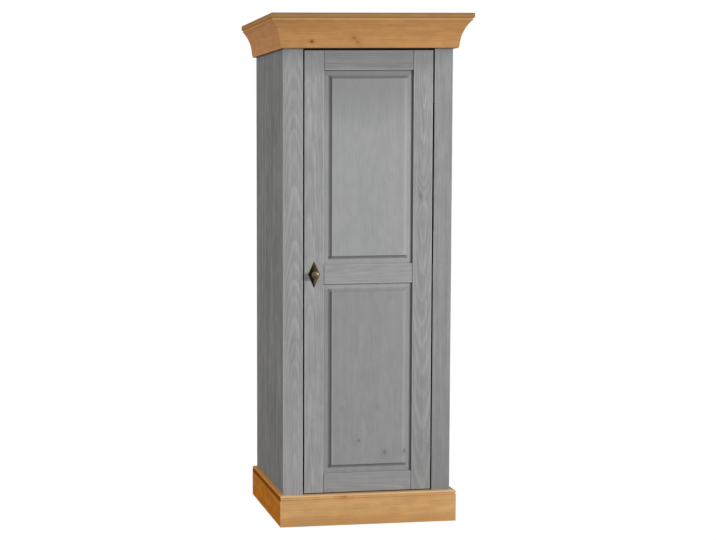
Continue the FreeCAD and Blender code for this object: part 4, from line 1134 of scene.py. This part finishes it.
@dataclass(frozen=True)
class Screws:
    """The screws of one node: cross-recessed heads set by Geometry Nodes where the CAD has them.

    The dome's top and the cross's length, width and depth are parts of the head's radius, and
    the tip's length and its end are parts of the shank's.
    """

    node: str
    body: str
    slot: str
    finish: Metal
    facing: Place
    head: HeadKind = HeadKind.COUNTERSUNK
    seed: int = 1
    shank: float = 0.52
    sides: int = 28
    dome_top: float = 0.62
    cross: tuple[float, float, float] = (1.08, 0.24, 0.9)
    tip: float = 1.6
    tip_end: float = 0.15
    weld: float = 1e-6

    def places(self) -> list[tuple[Vector, float, float]]:
        """Find each screw's head in the node's mesh.

        Returns:
            The middle of each head's face, its radius and the screw's length.
        """
        work = bmesh.new()
        work.from_mesh(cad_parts[self.node].data)
        bmesh.ops.remove_doubles(work, verts=work.verts, dist=self.weld)
        axis = Vector(self.facing)
        seen = set()
        found = []
        for start in work.verts:
            if start in seen:
                continue
            seen.add(start)
            island = [start]
            for vertex in island:
                others = {edge.other_vert(vertex) for edge in vertex.link_edges} - seen
                seen |= others
                island.extend(others)
            points = list(zip(*(vertex.co for vertex in island)))
            low, high = (Vector(map(pick, points)) for pick in (min, max))
            size = high - low
            length = abs(size.dot(axis))
            radius = (sum(size) - length) / 4
            found.append(((low + high) / 2 + axis * length / 2, radius, length))
        work.free()
        return found

    def tree(self, material: Material, measures: Mapping[str, float]) -> NodeTree:
        """Build the node tree that sets a screw on every point.

        Args:
            material: What the screws are made of.
            measures: The tree's inputs by name.

        Returns:
            The Geometry Nodes tree.
        """
        made = bpy.data.node_groups.new(f"{self.node}_setter", "GeometryNodeTree")
        made.interface.new_socket("Heads", in_out="INPUT", socket_type=GEOMETRY)
        for name, value in measures.items():
            kind = WHOLE if isinstance(value, int) else FLOAT
            made.interface.new_socket(name, in_out="INPUT", socket_type=kind)
        made.interface.new_socket("Screws", in_out="OUTPUT", socket_type=GEOMETRY)
        graph = Graph(made)
        given = graph.node("NodeGroupInput").outputs
        facing = graph.node("GeometryNodeInputNamedAttribute", "facing", data_type="FLOAT_VECTOR")
        aim = graph.node("FunctionNodeAlignRotationToVector", axis="Z")
        graph.fill(aim, Vector=facing.outputs[0])
        lot = graph.node("FunctionNodeRandomValue", ORIGIN, WHITE, 0.0, math.tau,
                         data_type="FLOAT")
        graph.fill(lot, Seed=given["Seed"])
        spin = graph.node("FunctionNodeAxisAngleToRotation", (0.0, 0.0, 1.0), lot.outputs[1])
        turned = graph.node("FunctionNodeRotateRotation", aim.outputs[0], spin.outputs[0],
                            rotation_space="LOCAL")
        placed = graph.node("GeometryNodeInstanceOnPoints", given["Heads"])
        graph.fill(placed, Instance=self.one_screw(graph, given), Rotation=turned.outputs[0])
        real = graph.node("GeometryNodeRealizeInstances", placed.outputs[0])
        dressed = graph.node("GeometryNodeSetMaterial", real.outputs[0])
        graph.fill(dressed, Material=material)
        graph.node("NodeGroupOutput", dressed.outputs[0])
        return made

    def one_screw(self, graph: Graph, given: Mapping[str, Socket]) -> Socket:
        """Turn one screw round its axis and cut its cross, with the head's face at the origin.

        Args:
            graph: The tree's graph.
            given: The tree's inputs.

        Returns:
            The screw's geometry.
        """
        radius, length = given["Head Radius"], given["Length"]
        core, rim, dome, sink = (graph.mul(radius, given[name])
                                 for name in ("Shank", "Rim", "Dome", "Countersink"))
        crown = graph.mul(dome, -1.0)
        under = graph.sub(crown, rim)
        neck = graph.sub(under, sink)
        tip = graph.mul(core, self.tip)
        stages = [
            (radius, radius, under, rim),
            (core, core, graph.sub(tip, length), graph.sub(graph.add(length, neck), tip)),
            (core, graph.mul(core, self.tip_end), graph.mul(length, -1.0), tip),
        ]
        if self.head is HeadKind.PAN:
            stages.append((graph.mul(radius, self.dome_top), radius, crown, dome))
        else:
            stages.append((radius, core, neck, sink))
        joined = graph.node("GeometryNodeJoinGeometry")
        for top, bottom, place, depth in stages:
            part = graph.node("GeometryNodeMeshCone", self.sides, fill_type="NGON")
            graph.fill(part, Radius_Top=top, Radius_Bottom=bottom, Depth=depth)
            moved = graph.node("GeometryNodeTransform", part.outputs["Mesh"])
            graph.fill(moved, Translation=graph.join(0.0, 0.0, place))
            graph.fill(joined, Geometry=moved.outputs[0])
        cross = graph.node("GeometryNodeJoinGeometry")
        long, slim, deep = (graph.mul(radius, share) for share in self.cross)
        for size in ((long, slim, deep), (slim, long, deep)):
            arm = graph.node("GeometryNodeMeshCube", graph.join(*size))
            graph.fill(cross, Geometry=arm.outputs["Mesh"])
        cut = graph.node("GeometryNodeMeshBoolean", operation="DIFFERENCE", solver="EXACT")
        graph.fill(cut, Mesh_1=joined.outputs[0], Mesh_2=cross.outputs[0],
                   Self_Intersection=True)
        return cut.outputs["Mesh"]

    def build(self) -> bpy.types.Object:
        """Set the screws, make them one mesh and stand it in for the node.

        Returns:
            The finished piece.
        """
        places = self.places()
        _, radius, length = places[0]
        rim, dome, sink = self.head.value
        measures = {"Head Radius": radius, "Length": length, "Shank": self.shank, "Rim": rim,
                    "Dome": dome, "Countersink": sink, "Seed": self.seed}
        mesh = bpy.data.meshes.new(f"{self.node}_heads")
        mesh.from_pydata([place for place, _, _ in places], [], [])
        for item in mesh.attributes.new("facing", "FLOAT_VECTOR", "POINT").data:
            item.vector = self.facing
        seat = put(f"{self.node}_seat", mesh)
        setter = seat.modifiers.new("setter", "NODES")
        setter.node_group = self.tree(self.finish.dress(), measures)
        for item in setter.node_group.interface.items_tree:
            if item.name in measures:
                setter[item.identifier] = measures[item.name]
        graph = bpy.context.evaluated_depsgraph_get()
        solid = bpy.data.meshes.new_from_object(seat.evaluated_get(graph))
        bpy.data.objects.remove(seat)
        solid.name = f"{self.node}_mesh"
        piece = put(f"{self.node}_set", solid)
        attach(piece, self.body)
        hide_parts(self.node)
        log.info("%s: %d screws", piece.name, len(places))
        return piece


SCREWS = (
    Screws("hinge_screws_door", "door", "dark_iron", DARK_IRON, (1.0, 0.0, 0.0), seed=3),
    Screws("hinge_screws_frame", "carcass", "dark_iron", DARK_IRON, (-1.0, 0.0, 0.0), seed=5),
    Screws("back_screws", "carcass", "zinc_steel", ZINC_STEEL, (0.0, 1.0, 0.0), seed=7),
    Screws("catch_screws", "carcass", "zinc_steel", ZINC_STEEL, (0.0, 0.0, -1.0), seed=11),
    Screws("strike_screw", "door", "zinc_steel", ZINC_STEEL, (0.0, 1.0, 0.0), seed=13),
    Screws("knob_screw", "door", "zinc_steel", ZINC_STEEL, (0.0, 1.0, 0.0), HeadKind.PAN, seed=17),
)


@dataclass(frozen=True)
class Lamp:
    """A square area lamp by its place, the point that it faces, its side and its watts."""

    name: str
    place: Place
    aim: Place
    size: float
    power: float
    tint: Colour = WHITE

    def hang(self) -> None:
        """Hang the lamp."""
        light = bpy.data.lights.new(self.name, "AREA")
        light.shape = "SQUARE"
        light.size, light.energy, light.color = self.size, self.power, self.tint
        hung = put(self.name, light)
        hung.location = self.place
        beam = Vector(self.aim) - Vector(self.place)
        hung.rotation_euler = beam.to_track_quat("-Z", "Y").to_euler()


@dataclass
class Studio:
    """Floor, world, camera and lamps: a key right of the front and a fill beside the left."""

    floor_half: float = 30.0
    floor_sink: float = 0.0004
    floor_bounce: Colour = (0.55, 0.55, 0.55)
    floor_shade: Colour = (0.9, 0.9, 0.9)
    floor_glow: float = 1.05
    glow_share: float = 0.93
    ambient: Colour = (0.50, 0.505, 0.515)
    lamps: tuple[Lamp, ...] = (
        Lamp("key", (5.9, -5.2, 2.9), (0.0, 0.0, 1.0), 1.8, 455.0, (1.0, 0.99, 0.97)),
        Lamp("fill", (-6.0, 1.3, 2.2), (-0.3, 0.1, 1.0), 2.4, 108.0),
    )
    lens_pixels: float = 1370.8
    frame_pixels: float = 716.0
    sensor: float = 36.0
    place: Place = (-1.4649, -5.1661, 1.4105)
    yaw: float = 6.309
    pitch: float = -4.453
    roll: float = -0.545
    shift: Span = (0.328, -0.018)

    def floor(self) -> None:
        """Lay the pale floor, which is plain white to the camera but keeps a faint shadow."""
        mesh = bpy.data.meshes.new("studio_floor")
        half = self.floor_half
        mesh.from_pydata([(x, y, -self.floor_sink) for x, y in (
            (-half, -half), (half, -half), (half, half), (-half, half))], [], [(0, 1, 2, 3)])
        ground = put("studio_floor", mesh)
        made = bpy.data.materials.new("studio_white")
        graph = Graph.blank(made)
        matt, shadow = (graph.node("ShaderNodeBsdfDiffuse", colour)
                        for colour in (self.floor_bounce, self.floor_shade))
        glow = graph.node("ShaderNodeEmission", WHITE, self.floor_glow)
        seen = graph.mix(self.glow_share, shadow, glow)
        graph.show(graph.mix(self.looked_at(graph), matt, seen))
        mesh.materials.append(made)

    @staticmethod
    def looked_at(graph: Graph) -> Socket:
        """Tell rays that show the surroundings from rays that light the object.

        Args:
            graph: The graph that asks.

        Returns:
            1 for a camera, glossy or transmission ray.
        """
        path = graph.node("ShaderNodeLightPath").outputs
        seen = graph.math("MAXIMUM", path["Is Camera Ray"], path["Is Glossy Ray"])
        return graph.math("MAXIMUM", seen, path["Is Transmission Ray"])

    def sky(self) -> None:
        """Make the world white to the eye and an even soft light to the object."""
        world = bpy.data.worlds.new("studio_sky")
        bpy.context.scene.world = world
        graph = Graph.blank(world)
        light, seen = (graph.node("ShaderNodeBackground", colour)
                       for colour in (self.ambient, WHITE))
        graph.show(graph.mix(self.looked_at(graph), light, seen), "World")

    def camera(self) -> None:
        """Set up the camera of the photograph's viewing angle."""
        data = bpy.data.cameras.new("camera")
        eye = put("camera", data)
        data.sensor_width = self.sensor
        data.lens = self.lens_pixels * self.sensor / self.frame_pixels
        data.shift_x, data.shift_y = self.shift
        eye.location = self.place
        turn = Matrix.Identity(3)
        for angle, axis in ((-self.yaw, "Z"), (90.0 + self.pitch, "X"), (self.roll, "Z")):
            turn = turn @ Matrix.Rotation(math.radians(angle), 3, axis)
        eye.rotation_euler = turn.to_euler()
        bpy.context.scene.camera = eye

    def set_up(self) -> None:
        """Set up everything round the object."""
        bpy.context.scene.view_settings.view_transform = "Standard"
        self.floor()
        self.sky()
        for lamp in self.lamps:
            lamp.hang()
        self.camera()
        log.info("studio ready")


def main() -> None:
    """Build the cupboard's sub-assemblies in order."""
    for assembly in (Carcass(), Crown(), Plinth(), Door(), Inside(), Fittings()):
        assembly.dress()
        log.info("%s dressed", type(assembly).__name__)
    for screws in SCREWS:
        screws.build()
    Studio().set_up()


if __name__ == "__main__":
    main()
